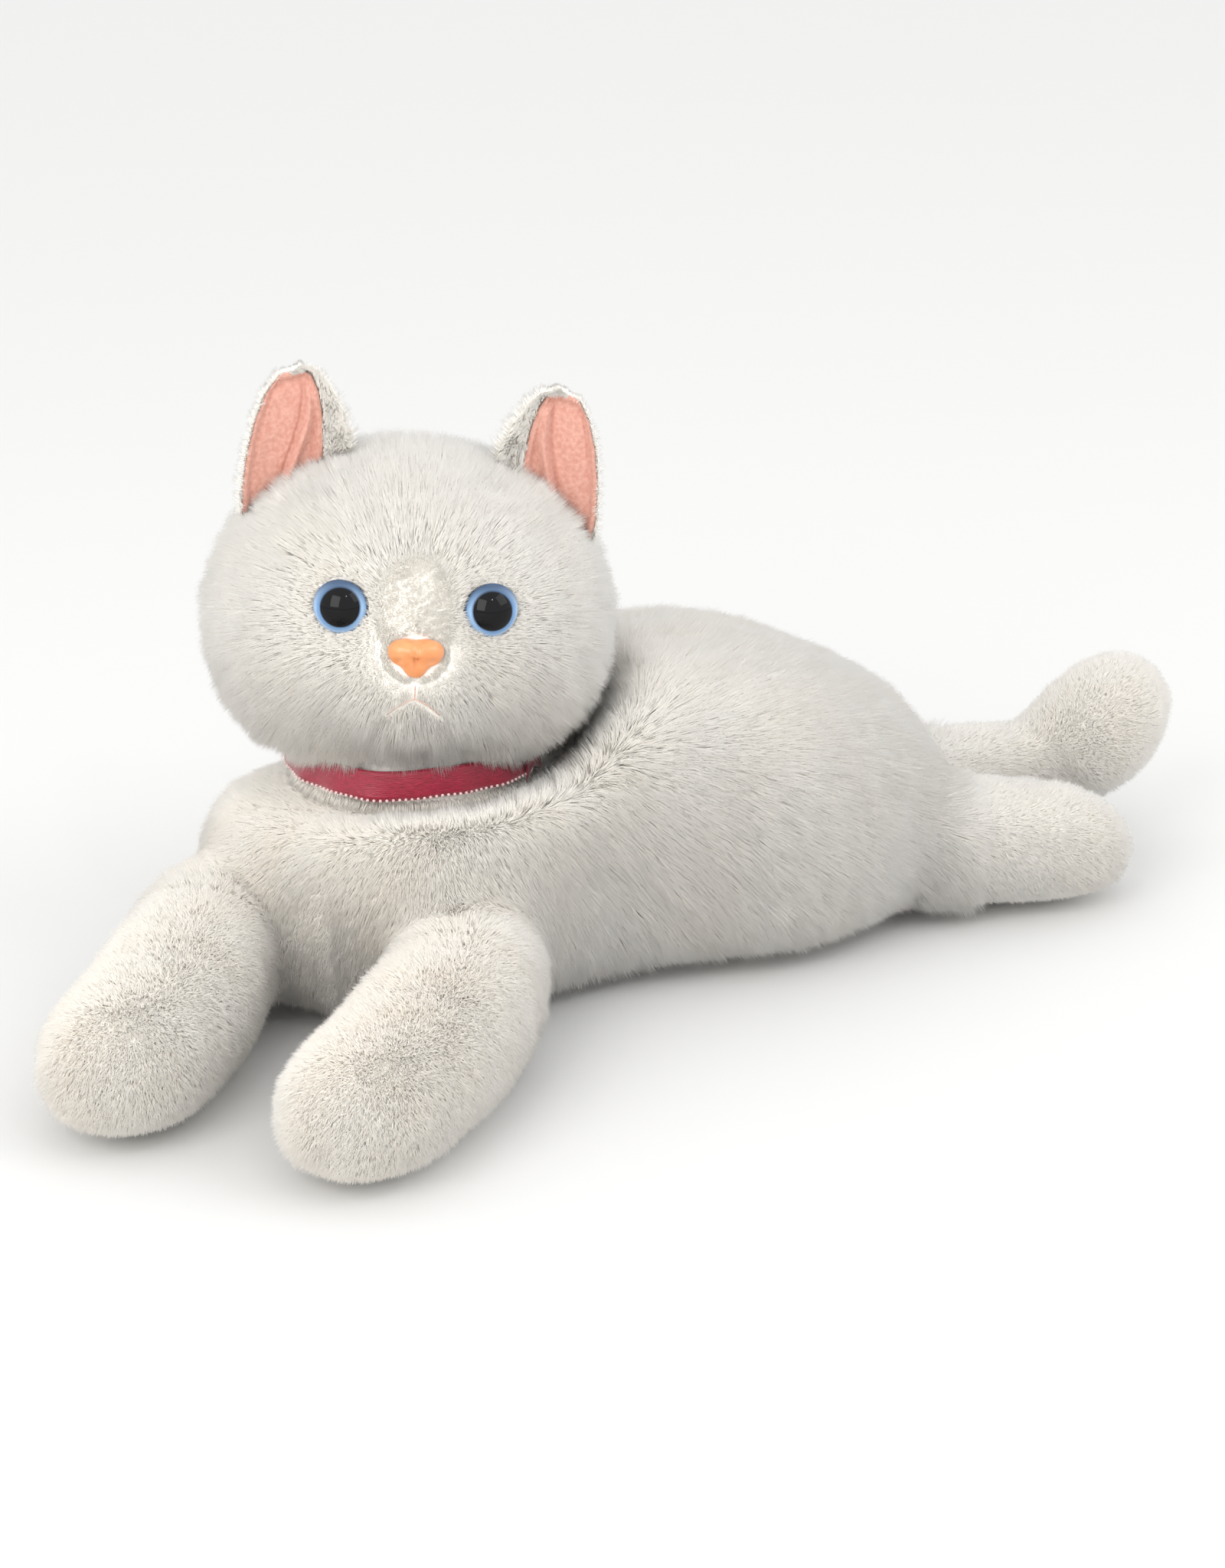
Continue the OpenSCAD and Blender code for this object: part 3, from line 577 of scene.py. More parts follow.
def pile(name, body, p, n, lean, length, tone, width=0.13, palette=None, gather=(0.4, 0.22), wild=0.13):
    """Tapered closed strands that follow lean over the surface, gathered into small and large locks."""
    palette = palette or COAT
    count = len(p)
    length = np.broadcast_to(length, count).copy() * rng.uniform(0.75, 1.12, count)
    small, large = locks(p, 2.3, 5), locks(p, 7.0, 9)
    smalls, larges = small.max() + 1, large.max() + 1
    length *= rng.uniform(0.88, 1.08, smalls)[small] * rng.uniform(0.92, 1.08, larges)[large]
    swirl = rng.normal(0, 0.09, (larges, 3))[large] + rng.normal(0, 0.07, (smalls, 3))[small]
    toward = unit(n + lean + across(n, swirl) + rng.normal(0, wild, (count, 3)))
    base = p - n * ROOT
    tip = base + toward * length[:, None] - UP * (length * 0.05)[:, None]
    for ids, strength in ((small, gather[0]), (large, gather[1])):
        pull = rng.uniform(0.3, 1.0, ids.max() + 1)[ids][:, None] * strength
        shift = lock_mean(ids, tip) - tip
        reach = np.linalg.norm(shift, axis=1, keepdims=True)
        tip = tip + shift * np.minimum(1, 4 / np.maximum(reach, 1e-6)) * pull
    tip[:, 2] = np.maximum(tip[:, 2], FLOOR + 0.1)
    base[:, 2] = np.maximum(base[:, 2], FLOOR + 0.1)
    d = unit(tip - base)
    e1 = unit(np.cross(d, rng.normal(size=(count, 3))))
    e2 = np.cross(d, e1)
    w = width * rng.uniform(0.8, 1.25, (count, 1))
    vert = np.empty((count, 4, 3))
    for k in range(3):
        a = k * 2 * math.pi / 3
        vert[:, k] = base + (e1 * math.cos(a) + e2 * math.sin(a)) * w
    vert[:, 3] = tip
    f = np.array([[2, 1, 0], [0, 1, 3], [1, 2, 3], [2, 0, 3]])
    level = tone + rng.normal(0, 0.4, count) + rng.normal(0, 0.12, smalls)[small]
    mat = np.clip(np.round(level), 0, len(palette) - 1).astype(int)
    for i, at in enumerate(range(0, count, PIECE_STRANDS)):
        part = slice(at, min(at + PIECE_STRANDS, count))
        many = part.stop - part.start
        tris = (np.arange(many)[:, None, None] * 4 + f).reshape(-1, 3)
        ob = tri_mesh(f"{name}_{i + 1}", vert[part].reshape(-1, 3), tris, palette, np.repeat(mat[part], 4))
        attach(ob, body)


COAT = fur_tints("pile", [(1.0, 0.975, 0.925), (1.0, 0.965, 0.905), (0.995, 0.95, 0.88),
                          (0.99, 0.935, 0.855), (0.985, 0.92, 0.83)])
BODY_LENGTH = 10.5
DENSITY = 6.2  # strands on a square millimetre


def body_weight(p, n):
    """Thin pile where the cat lies on it, none under the head and ribbon."""
    w = 1 - 0.85 * ramp(0.25, 0.75, -n[:, 2]) * ramp(12, 6, p[:, 2])
    r = np.linalg.norm(p[:, :2], axis=1)
    return np.where((r < 38) & (p[:, 2] > 50), 0.0, w)


def groom(p, n, region):
    """Which way the pile of the body lies, and how strongly."""
    lean = np.zeros_like(p)
    back = ramp(-30, 50, p[:, 1])[:, None]
    torso_way = np.array([0.2, -0.25, -1.45]) * (1 - back) + np.array([0.22, 1.15, -0.85]) * back
    for k, body in enumerate(REGIONS):
        at = region == k
        if k == 0:
            lean[at] = torso_way[at]
            continue
        pivot, along, _parent = joint_frame(body)
        down = 0.15 if body.startswith("tail") else 0.40
        lean[at] = along * 0.75 - UP * down
        blend = ramp(30, 0, (p[at] - pivot) @ along)[:, None]
        if not body.startswith("tail_tip"):
            lean[at] = lean[at] * (1 - 0.5 * blend) + torso_way[at] * 0.5 * blend
    return across(n, lean)


root_p, root_n, root_f = roots_on(body_v, body_q, DENSITY * 1.1, body_weight)
root_region = face_region[root_f]
root_lean = groom(root_p, root_n, root_region)
neck_r = np.linalg.norm(root_p[:, :2], axis=1)
root_len = BODY_LENGTH * (1 - 0.45 * ramp(62, 44, neck_r) * ramp(50, 58, root_p[:, 2]))
root_len *= 1 - 0.6 * ramp(0.3, 0.8, -root_n[:, 2]) * ramp(14, 6, root_p[:, 2])
root_len *= np.where(root_region > 0, 0.5, 1 - 0.3 * ramp(10, -40, root_p[:, 1]))
# Round the ribbon the pile is pushed outwards.
push = ramp(60, 42, neck_r) * ramp(48, 60, root_p[:, 2])
root_lean += (unit(root_p * [1, 1, 0]) * 0.9 - UP * 0.2) * push[:, None]
# Painted shade: darker, warmer tints on the chest and the lower front of the body, under the head. The waves
# add random tone on top.
tone_with_painted_shade = 0.9 * ramp(30, -50, root_p[:, 1]) * ramp(90, 60, root_p[:, 2]) + 0.8 * waves(root_p, 30, 3) + 0.6
for k, body in enumerate(REGIONS):
    at = root_region == k
    pile(f"{body}_pile", body, root_p[at], root_n[at], root_lean[at], root_len[at], tone=tone_with_painted_shade[at],
         gather=(0.14, 0.08), wild=0.13 if k == 0 else 0.3, width=0.13 if k == 0 else 0.15)

# Head pile: combed out from the nose, short round the eyes, nose and mouth.
EYE_X, EYE_Z = 24, 13.5
EYES = [face_point(s * EYE_X, EYE_Z) for s in (1, -1)]
NOSE = face_point(0, 1)
MOUTH = [((0, -8.5), (0, -13)), ((0, -13), (-8.5, -19.5)), ((0, -13), (8.5, -19.5))]


def to_line(x, z, a, b):
    a, b = np.array(a, float), np.array(b, float)
    q = np.stack([x, z], -1) - a
    t = np.clip(q @ (b - a) / ((b - a) @ (b - a)), 0, 1)[:, None]
    return np.linalg.norm(q - t * (b - a), axis=1)


def face_fields(p):
    """Local place, and distances to the nearer eye, nose, mouth and bridge on the front of the head."""
    q = to_head(p)
    x, y, z = q.T
    behind = np.where(y > -20, 100, 0)
    eye = np.minimum(*[np.linalg.norm(q - e, axis=1) for e in EYES])
    nose = np.sqrt((x / 9.0) ** 2 + ((z - 0.5) / 7.2) ** 2) * 8 + behind
    mouth = np.min([to_line(x, z, a, b) for a, b in MOUTH], axis=0) + behind
    bridge = np.sqrt((x / 10) ** 2 + ((z - 15) / 13) ** 2) + behind
    return q, eye, nose, mouth, bridge


def head_weight(p, n):
    _q, eye, nose, _mouth, _bridge = face_fields(p)
    w = ramp(8.4, 9.2, eye) * ramp(6.8, 7.8, nose)
    hidden = (np.linalg.norm(p[:, :2], axis=1) < 36) & (p[:, 2] < 90)
    return np.where(hidden, 0.0, w)


hp, hn, _f = roots_on(head_v, head_q, DENSITY * 1.15, head_weight)
hq, eye_far, nose_far, mouth_far, bridge_far = face_fields(hp)
ln = to_head(hp + hn) - hq
out = hq - np.array([0, -52.0, 4.0])
out[:, 1] *= 0.4
out = unit(out)
frontness = ramp(10, -30, hq[:, 1])
comb = out * frontness[:, None] + np.array([0, 0.45, -0.55]) * (1 - frontness)[:, None]
comb = comb + np.array([0, 0, -0.35]) * ramp(10, -25, hq[:, 2])[:, None]
comb = across(ln, comb)
h_len = 10.0 * ramp(-4, 34, eye_far) ** 0.7
h_len = np.minimum(h_len, 2.2 + 8.5 * ramp(7, 34, nose_far))
h_len = np.minimum(h_len, 1.6 + 9 * ramp(0.9, 1.7, bridge_far))
h_len = np.minimum(h_len, 2.4 + 7 * ramp(0.3, 6, mouth_far))
ring_zone = ramp(58, 46, np.linalg.norm(hp[:, :2], axis=1)) * ramp(98, 88, hp[:, 2])
h_len *= 1 + 0.1 * ring_zone - 0.25 * ring_zone * (1 + waves(hp, 12, 21))
comb = comb * (0.95 - 0.5 * ramp(40, 12, np.minimum(nose_far, 100)))[:, None]
away = unit(hp * [1, 1, 0]) * ring_zone[:, None]
comb_world = turn_head(comb) * (1 - ring_zone[:, None]) + away * 0.45 - UP * 0.9 * ring_zone[:, None]
# Painted shade: darker tints on the lower sides of the head and round the eyes. The waves add random tone on
# top.
head_tone_with_painted_shade = 0.2 + 0.7 * waves(hp, 26, 8) + 1.3 * ramp(10, -30, hq[:, 2]) * ramp(12, 40, np.abs(hq[:, 0])) \
    + 0.8 * ramp(16, 9, eye_far)
long_hair = h_len > 2.6
pile("head_pile", "head", hp[long_hair], hn[long_hair], comb_world[long_hair], h_len[long_hair],
     tone=head_tone_with_painted_shade[long_hair], gather=(0.2, 0.1), wild=0.11)


def trimmed_weight(p, n):
    """Short pile on the bridge and round the nose only."""
    _q, _eye, nose, _mouth, bridge = face_fields(p)
    return head_weight(p, n) * (np.minimum(bridge - 0.9, (nose - 7) / 6) < 0.5)


fine_p, fine_n, _f = roots_on(head_v, head_q, 3 * DENSITY, trimmed_weight)
fq, _eye, _nose, fmouth, fbridge = face_fields(fine_p)
f_len = 1.9 + 0.5 * ramp(0.6, 1.2, fbridge)
f_len = np.minimum(f_len, 0.8 + 1.4 * ramp(0.4, 3, fmouth))
f_comb = across(fine_n, turn_head(unit(fq - np.array([0, -40.0, 4.0]))) * 0.6)
SHORT = fur_tints("short pile", [(0.88, 0.85, 0.79), (0.87, 0.835, 0.77), (0.86, 0.82, 0.75)])
pile("face_pile", "head", fine_p, fine_n, f_comb, f_len, width=0.11, tone=0.6,
     palette=SHORT, gather=(0.15, 0.0), wild=0.16)

# A fringe on the neck below the ribbon.
neck_quads = np.array([[t[0], t[1], t[2], t[2]] for t in neck_t])
np_, nn_, _f = roots_on(neck_v, neck_quads, DENSITY, lambda p, n: ((p[:, 2] < 72) & (p[:, 2] > 60)) * 1.0)
pile("neck_pile", "neck", np_, nn_, across(nn_, np.tile([0, 0, -0.9], (len(np_), 1))), 6.5,
     tone=1.0)

# ---------------------------------------------------------------- ears

OUTER = [(57.5, 30), (57.8, 39), (56.5, 51), (54, 62), (50.5, 71), (46, 77.5), (39.5, 79.5)]
INNER = [(21, 54.3), (22.2, 59), (25.3, 67), (29, 73.5), (33.5, 78), (39.5, 79.5)]
EAR_MIDDLE = np.array([40.0, 47.0])
EAR_BEND = np.array([39.0, -26.0])


def along_line(points, t):
    p = np.array(points, float)
    s = np.concatenate([[0], np.cumsum(np.linalg.norm(np.diff(p, axis=0), axis=1))])
    t = np.asarray(t) * s[-1]
    return np.stack([np.interp(t, s, p[:, 0]), np.interp(t, s, p[:, 1])], -1)


def ear_place(s, t, radius, k, side):
    """Place on a leaf of the ear: s across from the outer edge, t from base to tip, k its size."""
    f = ((s + 1) / 2)[..., None]
    q = along_line(OUTER, t) * (1 - f) + along_line(INNER, t) * f
    q = q + np.array([0.9, 1.6]) * ((1 - s**2) * (1 - t) ** 2)[..., None]
    q = EAR_MIDDLE + (q - EAR_MIDDLE) * k
    x, z = q[..., 0], q[..., 1]
    y = EAR_BEND[1] + np.sqrt(radius**2 - (x - EAR_BEND[0]) ** 2)
    return from_head(np.stack([x * side, y, z], -1) @ about("Y", EAR_LEAN[side]).T)


def leaf(front, back, rows=40, cols=48):
    """Closed sheet between two grids of points that share their edges."""
    v = np.vstack([front.reshape(-1, 3), back.reshape(-1, 3)])
    f = grid_tris(rows, cols, closed=False)
    n = rows * cols
    edge = np.concatenate([np.arange(cols), np.arange(1, rows) * cols + cols - 1,
                           (rows - 1) * cols + np.arange(cols - 2, -1, -1),
                           np.arange(rows - 2, 0, -1) * cols])
    nxt = np.roll(edge, -1)
    walls = np.vstack([np.stack([nxt, edge, edge + n], 1), np.stack([nxt, edge + n, nxt + n], 1)])
    return v, np.vstack([f, f[:, ::-1] + n, walls])


def inner_edge(t):
    """Where the lining ends on the inner side of an ear, which is covered in pile."""
    return 0.50 + 0.30 * t


def ear_pile(name, side, count, radius, front, inside):
    """Pile on one face of the leaf, combed to the tip and away from the lining."""
    s, t = rng.uniform(-1, 1, count), rng.random(count)
    keep = inside(s, t)
    s, t = s[keep], t[keep]
    p = ear_place(s, t, radius, 1.0, side)
    ds = unit(ear_place(s + 0.02, t, radius, 1.0, side) - p)
    dt = unit(ear_place(s, t + 0.02, radius, 1.0, side) - p)
    n = unit(np.cross(ds, dt)) * side * (-1 if front else 1)
    middle = 0.5 * (inner_edge(t) - 0.9)
    lean = ds * (np.sign(s - middle) * 0.55)[:, None] + dt * (0.35 + 0.4 * t)[:, None]
    rise = 0.75 if front else 1.0
    pile(name, f"{'left' if side > 0 else 'right'}_ear", p, n * rise, lean,
         4.6 + 1.2 * ramp(0.2, 0.9, s), tone=0.5, gather=(0.35, 0.1))


for side, name in ((1, "left_ear"), (-1, "right_ear")):
    s, t = np.meshgrid(np.linspace(-1, 1, 48), np.linspace(0, 1, 40) ** 0.9)
    back_v, back_t = leaf(ear_place(s, t, 27.4, 1.0, side), ear_place(s, t, 29.8, 0.97, side))
    if side < 0:
        back_t = back_t[:, ::-1]
    back_leaf = tri_mesh(f"{name}_back_cloth", back_v, back_t, [BACKING])
    # The lining: a ridge inside its rim, and a deep fold that curls down from the upper inner side.
    ts = t * 0.94
    ss = -0.93 + (s + 1) / 2 * (inner_edge(ts) + 0.93)
    rim = np.minimum(1 - np.abs(s), (1 - t) * 1.3)
    fold_at = 0.55 * np.sin(np.clip(t, 0, 1) * 2.2) - 0.02
    off = s - fold_at
    fade = ramp(0.9, 0.62, t)
    stand = 0.8 * np.exp(-((rim - 0.10) / 0.05) ** 2) - 0.7 * np.exp(-((rim - 0.22) / 0.07) ** 2)
    curl = 2.8 * np.exp(-((off - 0.20) / 0.16) ** 2) - 1.2 * np.exp(-((off + 0.02) / 0.07) ** 2)
    stand = stand + fade * curl
    stand = stand + 0.2 * waves(np.stack([s * 18, t * 40, s * 0], -1).reshape(-1, 3), 7, 4).reshape(s.shape)
    inner_v, inner_t = leaf(ear_place(ss, ts, 26.1 - np.maximum(stand, -0.9), 1.0, side),
                            ear_place(ss, ts, 27.2, 1.0, side))
    if side < 0:
        inner_t = inner_t[:, ::-1]
    lining = tri_mesh(f"{name}_lining_velour", inner_v, inner_t, [VELOUR])
    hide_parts(f"{name}_back")
    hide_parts(f"{name}_lining")
    for ob in (back_leaf, lining):
        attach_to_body(ob, name)
    ear_pile(f"{name}_pile_back", side, int(1400 * DENSITY), 29.6, False, lambda s, t: s > -2)
    ear_pile(f"{name}_pile_rim", side, int(2600 * DENSITY), 27.4, True,
             lambda s, t: (s > inner_edge(t) - 0.02) | (s < -0.95) | (t > 0.94 - 0.02 * np.abs(s)))

# ---------------------------------------------------------------- eyes, nose, mouth


def node_points(name):
    ob = frame["nodes"][name]
    v = np.array([(ob.matrix_world @ x.co)[:] for x in ob.data.vertices])
    return v * 1000 - SHIFT


def eye_material(name, centre, axis, nose_way):
    """Painted eye: black pupil, blue iris that darkens to its rim, with painted shade that darkens it
    towards the top.
    """
    m = material(name, (0.1, 0.2, 0.4), 0.05, IOR=1.3)
    nt = m.node_tree
    link = nt.links.new
    coord = nt.nodes.new("ShaderNodeTexCoord")

    def node(kind, op, *values):
        n = nt.nodes.new(kind)
        n.operation = op
        for i, x in enumerate(values):
            if hasattr(x, "links"):
                link(x, n.inputs[i])
            elif x is not None:
                n.inputs[i].default_value = x
        return n

    def distance(at):
        rel = node("ShaderNodeVectorMath", "SUBTRACT", coord.outputs["Object"], tuple(metres(at)))
        cross = node("ShaderNodeVectorMath", "CROSS_PRODUCT", rel.outputs[0], tuple(axis))
        return node("ShaderNodeVectorMath", "LENGTH", cross.outputs[0]).outputs["Value"], rel

    def colours(value, stops, scale):
        f = node("ShaderNodeMath", "MULTIPLY", value, scale)
        r = nt.nodes.new("ShaderNodeValToRGB")
        el = r.color_ramp.elements
        while len(el) < len(stops):
            el.new(0.5)
        for e, (pos, c) in zip(el, stops):
            e.position = pos
            e.color = (*c, 1)
        link(f.outputs[0], r.inputs[0])
        return r.outputs[0]

    to_rim, rel = distance(centre + UP * 0.3)
    to_pupil, _ = distance(centre + nose_way * 0.8 + UP * 1.0)
    iris = colours(to_rim, [(0.0, (0.10, 0.25, 0.52)), (0.70, (0.15, 0.29, 0.52)),
                            (0.86, (0.33, 0.49, 0.72)), (0.93, (0.22, 0.38, 0.62)),
                            (0.98, (0.02, 0.03, 0.05))], 1000 / 9.2)
    # Painted shade: the iris turns dark navy towards its top, as if shaded by the brow above.
    height = node("ShaderNodeVectorMath", "DOT_PRODUCT", rel.outputs[0], (0, 0, 1)).outputs["Value"]
    top_painted_shade = node("ShaderNodeMath", "MULTIPLY_ADD", height, 1000 / 8.5, -0.05)
    top = nt.nodes.new("ShaderNodeMix")
    top.data_type = "RGBA"
    capped = node("ShaderNodeMath", "MINIMUM", top_painted_shade.outputs[0], 0.9)
    factor = node("ShaderNodeMath", "MAXIMUM", capped.outputs[0], 0.0)
    link(factor.outputs[0], top.inputs["Factor"])
    link(iris, top.inputs[6])
    top.inputs[7].default_value = (0.03, 0.055, 0.11, 1)
    pupil = colours(to_pupil, [(0.0, (0, 0, 0)), (0.62, (0, 0, 0)), (0.68, (1, 1, 1))], 100)
    both = nt.nodes.new("ShaderNodeMix")
    both.data_type = "RGBA"
    link(pupil, both.inputs["Factor"])
    both.inputs[6].default_value = (0.003, 0.003, 0.004, 1)
    link(top.outputs[2], both.inputs[7])
    link(both.outputs[2], nt.nodes["Principled BSDF"].inputs["Base Color"])
    return m


EYE_TURN = math.radians(14)
EYE_RADIUS = 9.05
for side, name in ((1, "left_eye"), (-1, "right_eye")):
    axis = turn_head(np.array([side * math.sin(EYE_TURN), -math.cos(EYE_TURN), 0.0]))
    right = unit(np.cross(UP, axis))
    dome = node_points(f"{name}_dome")
    seat = from_head(face_point(side * EYE_X, EYE_Z))
    seat = seat + axis * ((dome @ axis).min() - seat @ axis)
    apex = (dome @ axis).max() - seat @ axis
    radius = EYE_RADIUS
    curve = (radius**2 + apex**2) / (2 * apex)
    a = np.linspace(0, 2 * np.pi, 72, endpoint=False)
    spokes = np.outer(np.cos(a), right) + np.outer(np.sin(a), np.cross(axis, right))
    profile = [(r, math.sqrt(curve**2 - r**2) - (curve - apex)) for r in np.linspace(0.4, radius, 26)]
    profile += [(radius, -0.8), (radius - 1.5, -1.2)]
    rings = [seat + axis * h + spokes * r for r, h in profile]
    v, f = capsule(np.array(rings), seat + axis * apex, seat - axis * 1.2)
    toward_nose = right * -side
    eye = tri_mesh(f"{name}_painted", v, f[:, ::-1], [eye_material(name, seat, axis, toward_nose)])
    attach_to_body(eye, "head")
    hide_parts(f"{name}_dome", f"{name}_iris", f"{name}_pupil")

# Nose: two lobes above a point, with a groove and shallow nostrils.
ANGLES = np.radians([-90, -67, -50, -36, -15, 3, 15, 28, 47, 70, 90])
REACH = [8.5, 7.4, 6.5, 6.6, 8.3, 9.1, 9.2, 8.5, 6.7, 5.2, 4.7]
a = np.linspace(-np.pi, np.pi, 96, endpoint=False)
reach = np.interp(np.arctan2(np.sin(a), np.abs(np.cos(a))), ANGLES, REACH)
rings = []
for rho in [*np.sin(np.linspace(0.06, np.pi / 2, 30)), -0.93, -0.7]:
    q = abs(rho)
    x, z = reach * q * np.cos(a), reach * q * np.sin(a)
    if rho > 0:
        high = 5.6 * np.sqrt(np.maximum(1 - q**2.4, 0)) * (0.86 + 0.14 * np.sin(a))
        high = high - 0.9 * np.exp(-(x / 0.9) ** 2) * (1 - q) ** 0.4
        for s in (1, -1):
            high = high - 0.9 * np.exp(-(((x - s * 5.6) / 1.3) ** 2 + ((z + 1.6) / 1.1) ** 2))
    else:
        high = np.full(96, -2.0)
    rings.append(np.stack([x, NOSE[1] + 0.4 - high, z + 1], -1))
v, f = capsule(np.array(rings), [0, NOSE[1] - 4.2, 1], [0, NOSE[1] + 2.4, 1])
nose = tri_mesh("nose_moulded", from_head(v), f, [ORANGE])
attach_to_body(nose, "head")
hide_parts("nose")

# Mouth thread: two plied strands along each stitch, lying on the short pile.
tubes_v, tubes_f = [], []
for a2, b2 in MOUTH:
    for ply in (0, 1):
        pts = []
        for u in np.linspace(0, 1, 26):
            x, z = np.array(a2) * (1 - u) + np.array(b2) * u
            z = z + 0.9 * math.sin(math.pi * u) * (abs(b2[0]) > 0)
            twist = u * 14 + ply * math.pi
            p = face_point(x, z) + [0, -1.5, 0]
            pts.append(p + 0.14 * np.array([math.cos(twist), math.sin(twist), math.cos(twist)]))
        pts = np.array(pts)
        d = unit(np.gradient(pts, axis=0))
        e1 = unit(np.cross(d, [0.2, 1, 0.1]))
        e2 = np.cross(d, e1)
        c = np.linspace(0, 2 * np.pi, 8, endpoint=False)
        around = np.cos(c)[None, :, None] * e1[:, None] + np.sin(c)[None, :, None] * e2[:, None]
        rings = pts[:, None] + 0.15 * around
        v, f = capsule(rings, pts[0], pts[-1])
        tubes_f.append(f + sum(len(x) for x in tubes_v))
        tubes_v.append(v)
mouth = tri_mesh("mouth_stitches", from_head(np.vstack(tubes_v)), np.vstack(tubes_f), [THREAD])
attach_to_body(mouth, "head")
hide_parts("mouth_thread")

# ---------------------------------------------------------------- ribbon


def band(theta, mid_r, lo_r, hi_r, z, width, thick):
    """Closed strip that runs round the neck axis; theta, radii and heights are arrays along it."""
    cols = 7
    v = []
    for sgn in (1, -1):
        for c in np.linspace(0, 1, cols):
            r = lo_r * (1 - c) + hi_r * c + (mid_r - (lo_r + hi_r) / 2) * 4 * c * (1 - c) + sgn * thick / 2
            v.append(np.stack([r * np.cos(theta), r * np.sin(theta), z + width * (c - 0.5)], -1))
    return np.array(v[:cols] + v[cols:][::-1])


theta = np.linspace(0, 2 * np.pi, 360, endpoint=False)
wave = 0.45 * np.sin(5 * theta + 1) + 0.3 * np.sin(9 * theta) + 0.2 * np.sin(17 * theta + 2)
mid = 41.2 + wave * 0.8
z0 = 78.0 + 0.5 * np.sin(3 * theta + 2.2) + 0.25 * np.sin(8 * theta)
loop = band(theta, mid + 0.4, mid + 0.9 + wave * 0.8, mid - 0.3, z0, np.full(360, 10.0), 0.5)
v = np.transpose(loop, (1, 0, 2)).reshape(-1, 3)
i, j = np.meshgrid(np.arange(360), np.arange(14), indexing="ij")
here, beside = i * 14 + j, i * 14 + (j + 1) % 14
ahead, diagonal = ((i + 1) % 360) * 14 + j, ((i + 1) % 360) * 14 + (j + 1) % 14
f = np.stack([here, ahead, diagonal, here, diagonal, beside], -1).reshape(-1, 3)
ribbon = tri_mesh("ribbon_band", v, f, [SATIN])
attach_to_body(ribbon, "neck")
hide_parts("ribbon_collar")

# Picots: one small knot every 2 mm along the lower edge.
KNOTS, KNOT_RADIUS = 130, 0.55
knots_v, knots_f = [], []
for k in range(KNOTS):
    th = 2 * np.pi * k / KNOTS
    i0 = int(k / KNOTS * 360)
    r = mid[i0] + 1.5 + wave[i0] * 0.8
    c = np.array([r * math.cos(th), r * math.sin(th), z0[i0] - 4.6])
    u = np.linspace(0, np.pi, 6)[1:-1]
    aa = np.linspace(0, 2 * np.pi, 8, endpoint=False)
    ball = [np.outer(np.sin(u), np.cos(aa)), np.outer(np.sin(u), np.sin(aa)),
            np.repeat(np.cos(u)[:, None], 8, 1)]
    ringv = c + KNOT_RADIUS * np.stack(ball, -1)
    v, f = capsule(ringv, c + [0, 0, KNOT_RADIUS], c - [0, 0, KNOT_RADIUS])
    knots_f.append(f[:, ::-1] + sum(len(x) for x in knots_v))
    knots_v.append(v)
picots = tri_mesh("ribbon_picots", np.vstack(knots_v), np.vstack(knots_f), [STITCH])
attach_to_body(picots, "neck")

# The end of the ribbon: pinched where it is sewn, then flared.
end_lo, end_hi = (np.array(c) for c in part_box("ribbon_ends"))
end_mid = (end_lo + end_hi) / 2 * 1000 - SHIFT
end_at = math.atan2(end_mid[1], end_mid[0])
HALF_SPAN = 0.17  # half the length of the end, in radians round the neck
span = np.linspace(-HALF_SPAN, HALF_SPAN, 40)
flare = 4.2 + 3.2 * np.abs(span / HALF_SPAN) ** 1.3
pleat = np.sin(np.linspace(-1, 1, 13) * 7)
outer_v = []
for sgn in (1, -1):
    for c, w in zip(np.linspace(-1, 1, 13), pleat):
        r = 43.2 + 0.5 * w * (1 - np.abs(span / HALF_SPAN)) + 0.9 * (span / HALF_SPAN) ** 2 + sgn * 0.3
        ang = end_at + span
        outer_v.append(np.stack([r * np.cos(ang), r * np.sin(ang), 78.3 + c * flare], -1))
loop = np.transpose(np.concatenate([outer_v[:13], outer_v[13:][::-1]]), (1, 0, 2))
v, f = capsule(loop, loop[0].mean(0), loop[-1].mean(0))
ends = tri_mesh("ribbon_end_flare", v, f, [SATIN])
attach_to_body(ends, "neck")
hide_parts("ribbon_ends")

# ---------------------------------------------------------------- hidden hardware

for name, ob in frame["nodes"].items():
    if name.endswith("washer"):
        own = WASHER
    elif name.endswith("stem"):
        own = BLACK
    else:
        continue
    ob.data.materials.clear()
    ob.data.materials.append(own)

# ---------------------------------------------------------------- studio

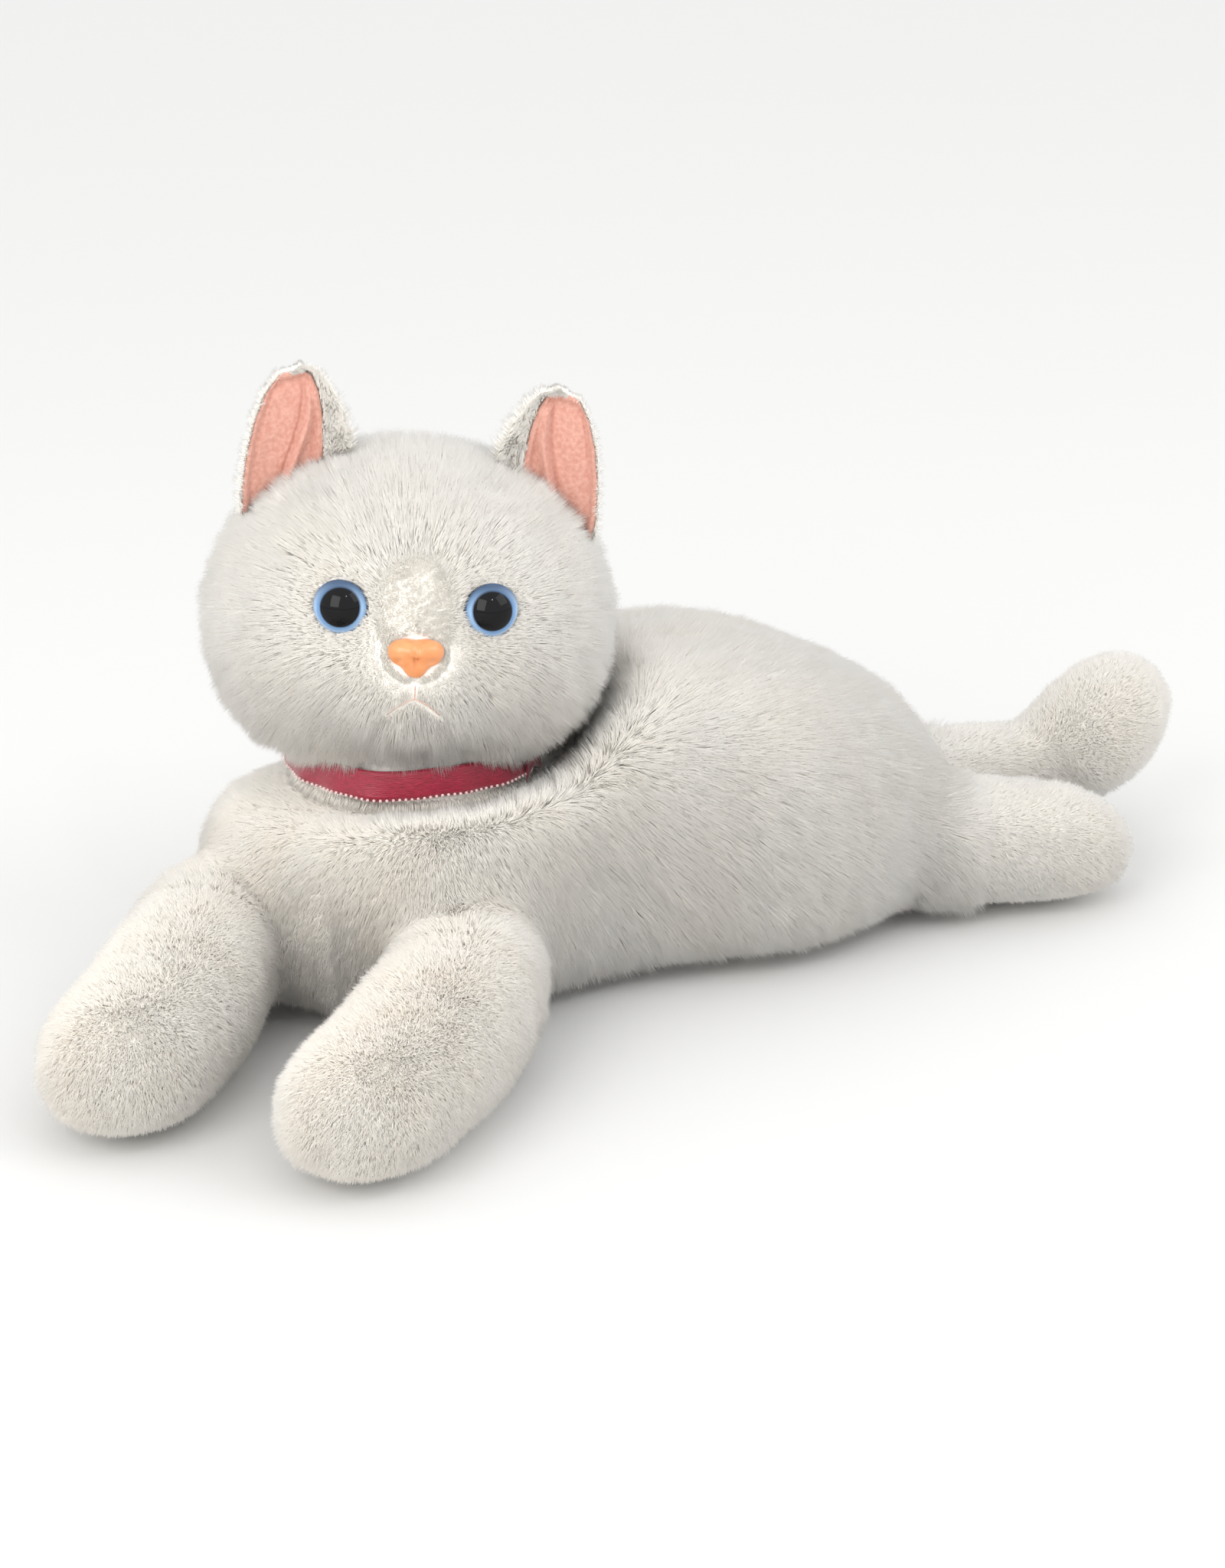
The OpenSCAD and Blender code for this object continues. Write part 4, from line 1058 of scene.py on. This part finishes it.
floor_me = bpy.data.meshes.new("floor")
floor_me.from_pydata([(-6, -6, 0), (6, -6, 0), (6, 6, 0), (-6, 6, 0)], [], [(0, 1, 2, 3)])
floor = bpy.data.objects.new("floor", floor_me)
bpy.context.scene.collection.objects.link(floor)
floor_me.materials.append(material("floor", (0.66, 0.66, 0.655), 0.9))

AZ, EL, FAR = math.radians(40), math.radians(20), 1.3
right = np.array([math.cos(AZ), math.sin(AZ), 0])
back = np.array([math.sin(AZ) * math.cos(EL), -math.cos(AZ) * math.cos(EL), math.sin(EL)])
up = np.cross(back, right)
anchor = metres([0, 0, 129])
# The cat's head sits left of the middle of the picture and above it.
place = anchor + right * 0.0682 - up * 0.0618 + back * FAR
cam_data = bpy.data.cameras.new("camera")
cam_data.sensor_width = 36
cam_data.lens = 89.12
camera = bpy.data.objects.new("camera", cam_data)
camera.matrix_world = Matrix([[*map(float, (right[i], up[i], back[i])), float(place[i])] for i in range(3)]
                             + [[0, 0, 0, 1]])
bpy.context.scene.collection.objects.link(camera)
bpy.context.scene.camera = camera


def area_light(name, at, size, watts, aim=(0, 0, 0.08), colour=(1, 1, 1)):
    data = bpy.data.lights.new(name, "AREA")
    data.shape = "RECTANGLE"
    data.size, data.size_y = size
    data.energy = watts
    data.color = colour
    ob = bpy.data.objects.new(name, data)
    ob.location = at
    ob.visible_camera = False
    ob.rotation_euler = (Vector(at) - Vector(aim)).to_track_quat("Z", "Y").to_euler()
    bpy.context.scene.collection.objects.link(ob)


def from_camera(turn, lift, far):
    """A place round the cat, turned and lifted by degrees from the camera's side."""
    turn = AZ + math.radians(turn)
    lift = EL + math.radians(lift)
    way = np.array([math.sin(turn) * math.cos(lift), -math.cos(turn) * math.cos(lift), math.sin(lift)])
    return tuple(map(float, anchor + way * far))


area_light("key", from_camera(-27, 6, 1.35), (0.8, 1.0), 8, colour=(1, 0.98, 0.945))
area_light("fill", from_camera(70, 15, 1.6), (1.0, 1.0), 5)
area_light("spark", from_camera(24, 26, 1.2), (0.06, 0.06), 0.5)
world = bpy.data.worlds.new("studio")
world.use_nodes = True
world.node_tree.nodes["Background"].inputs[0].default_value = (1, 1, 1, 1)
world.node_tree.nodes["Background"].inputs[1].default_value = 1.27
bpy.context.scene.world = world
bpy.context.scene.view_settings.view_transform = "Standard"
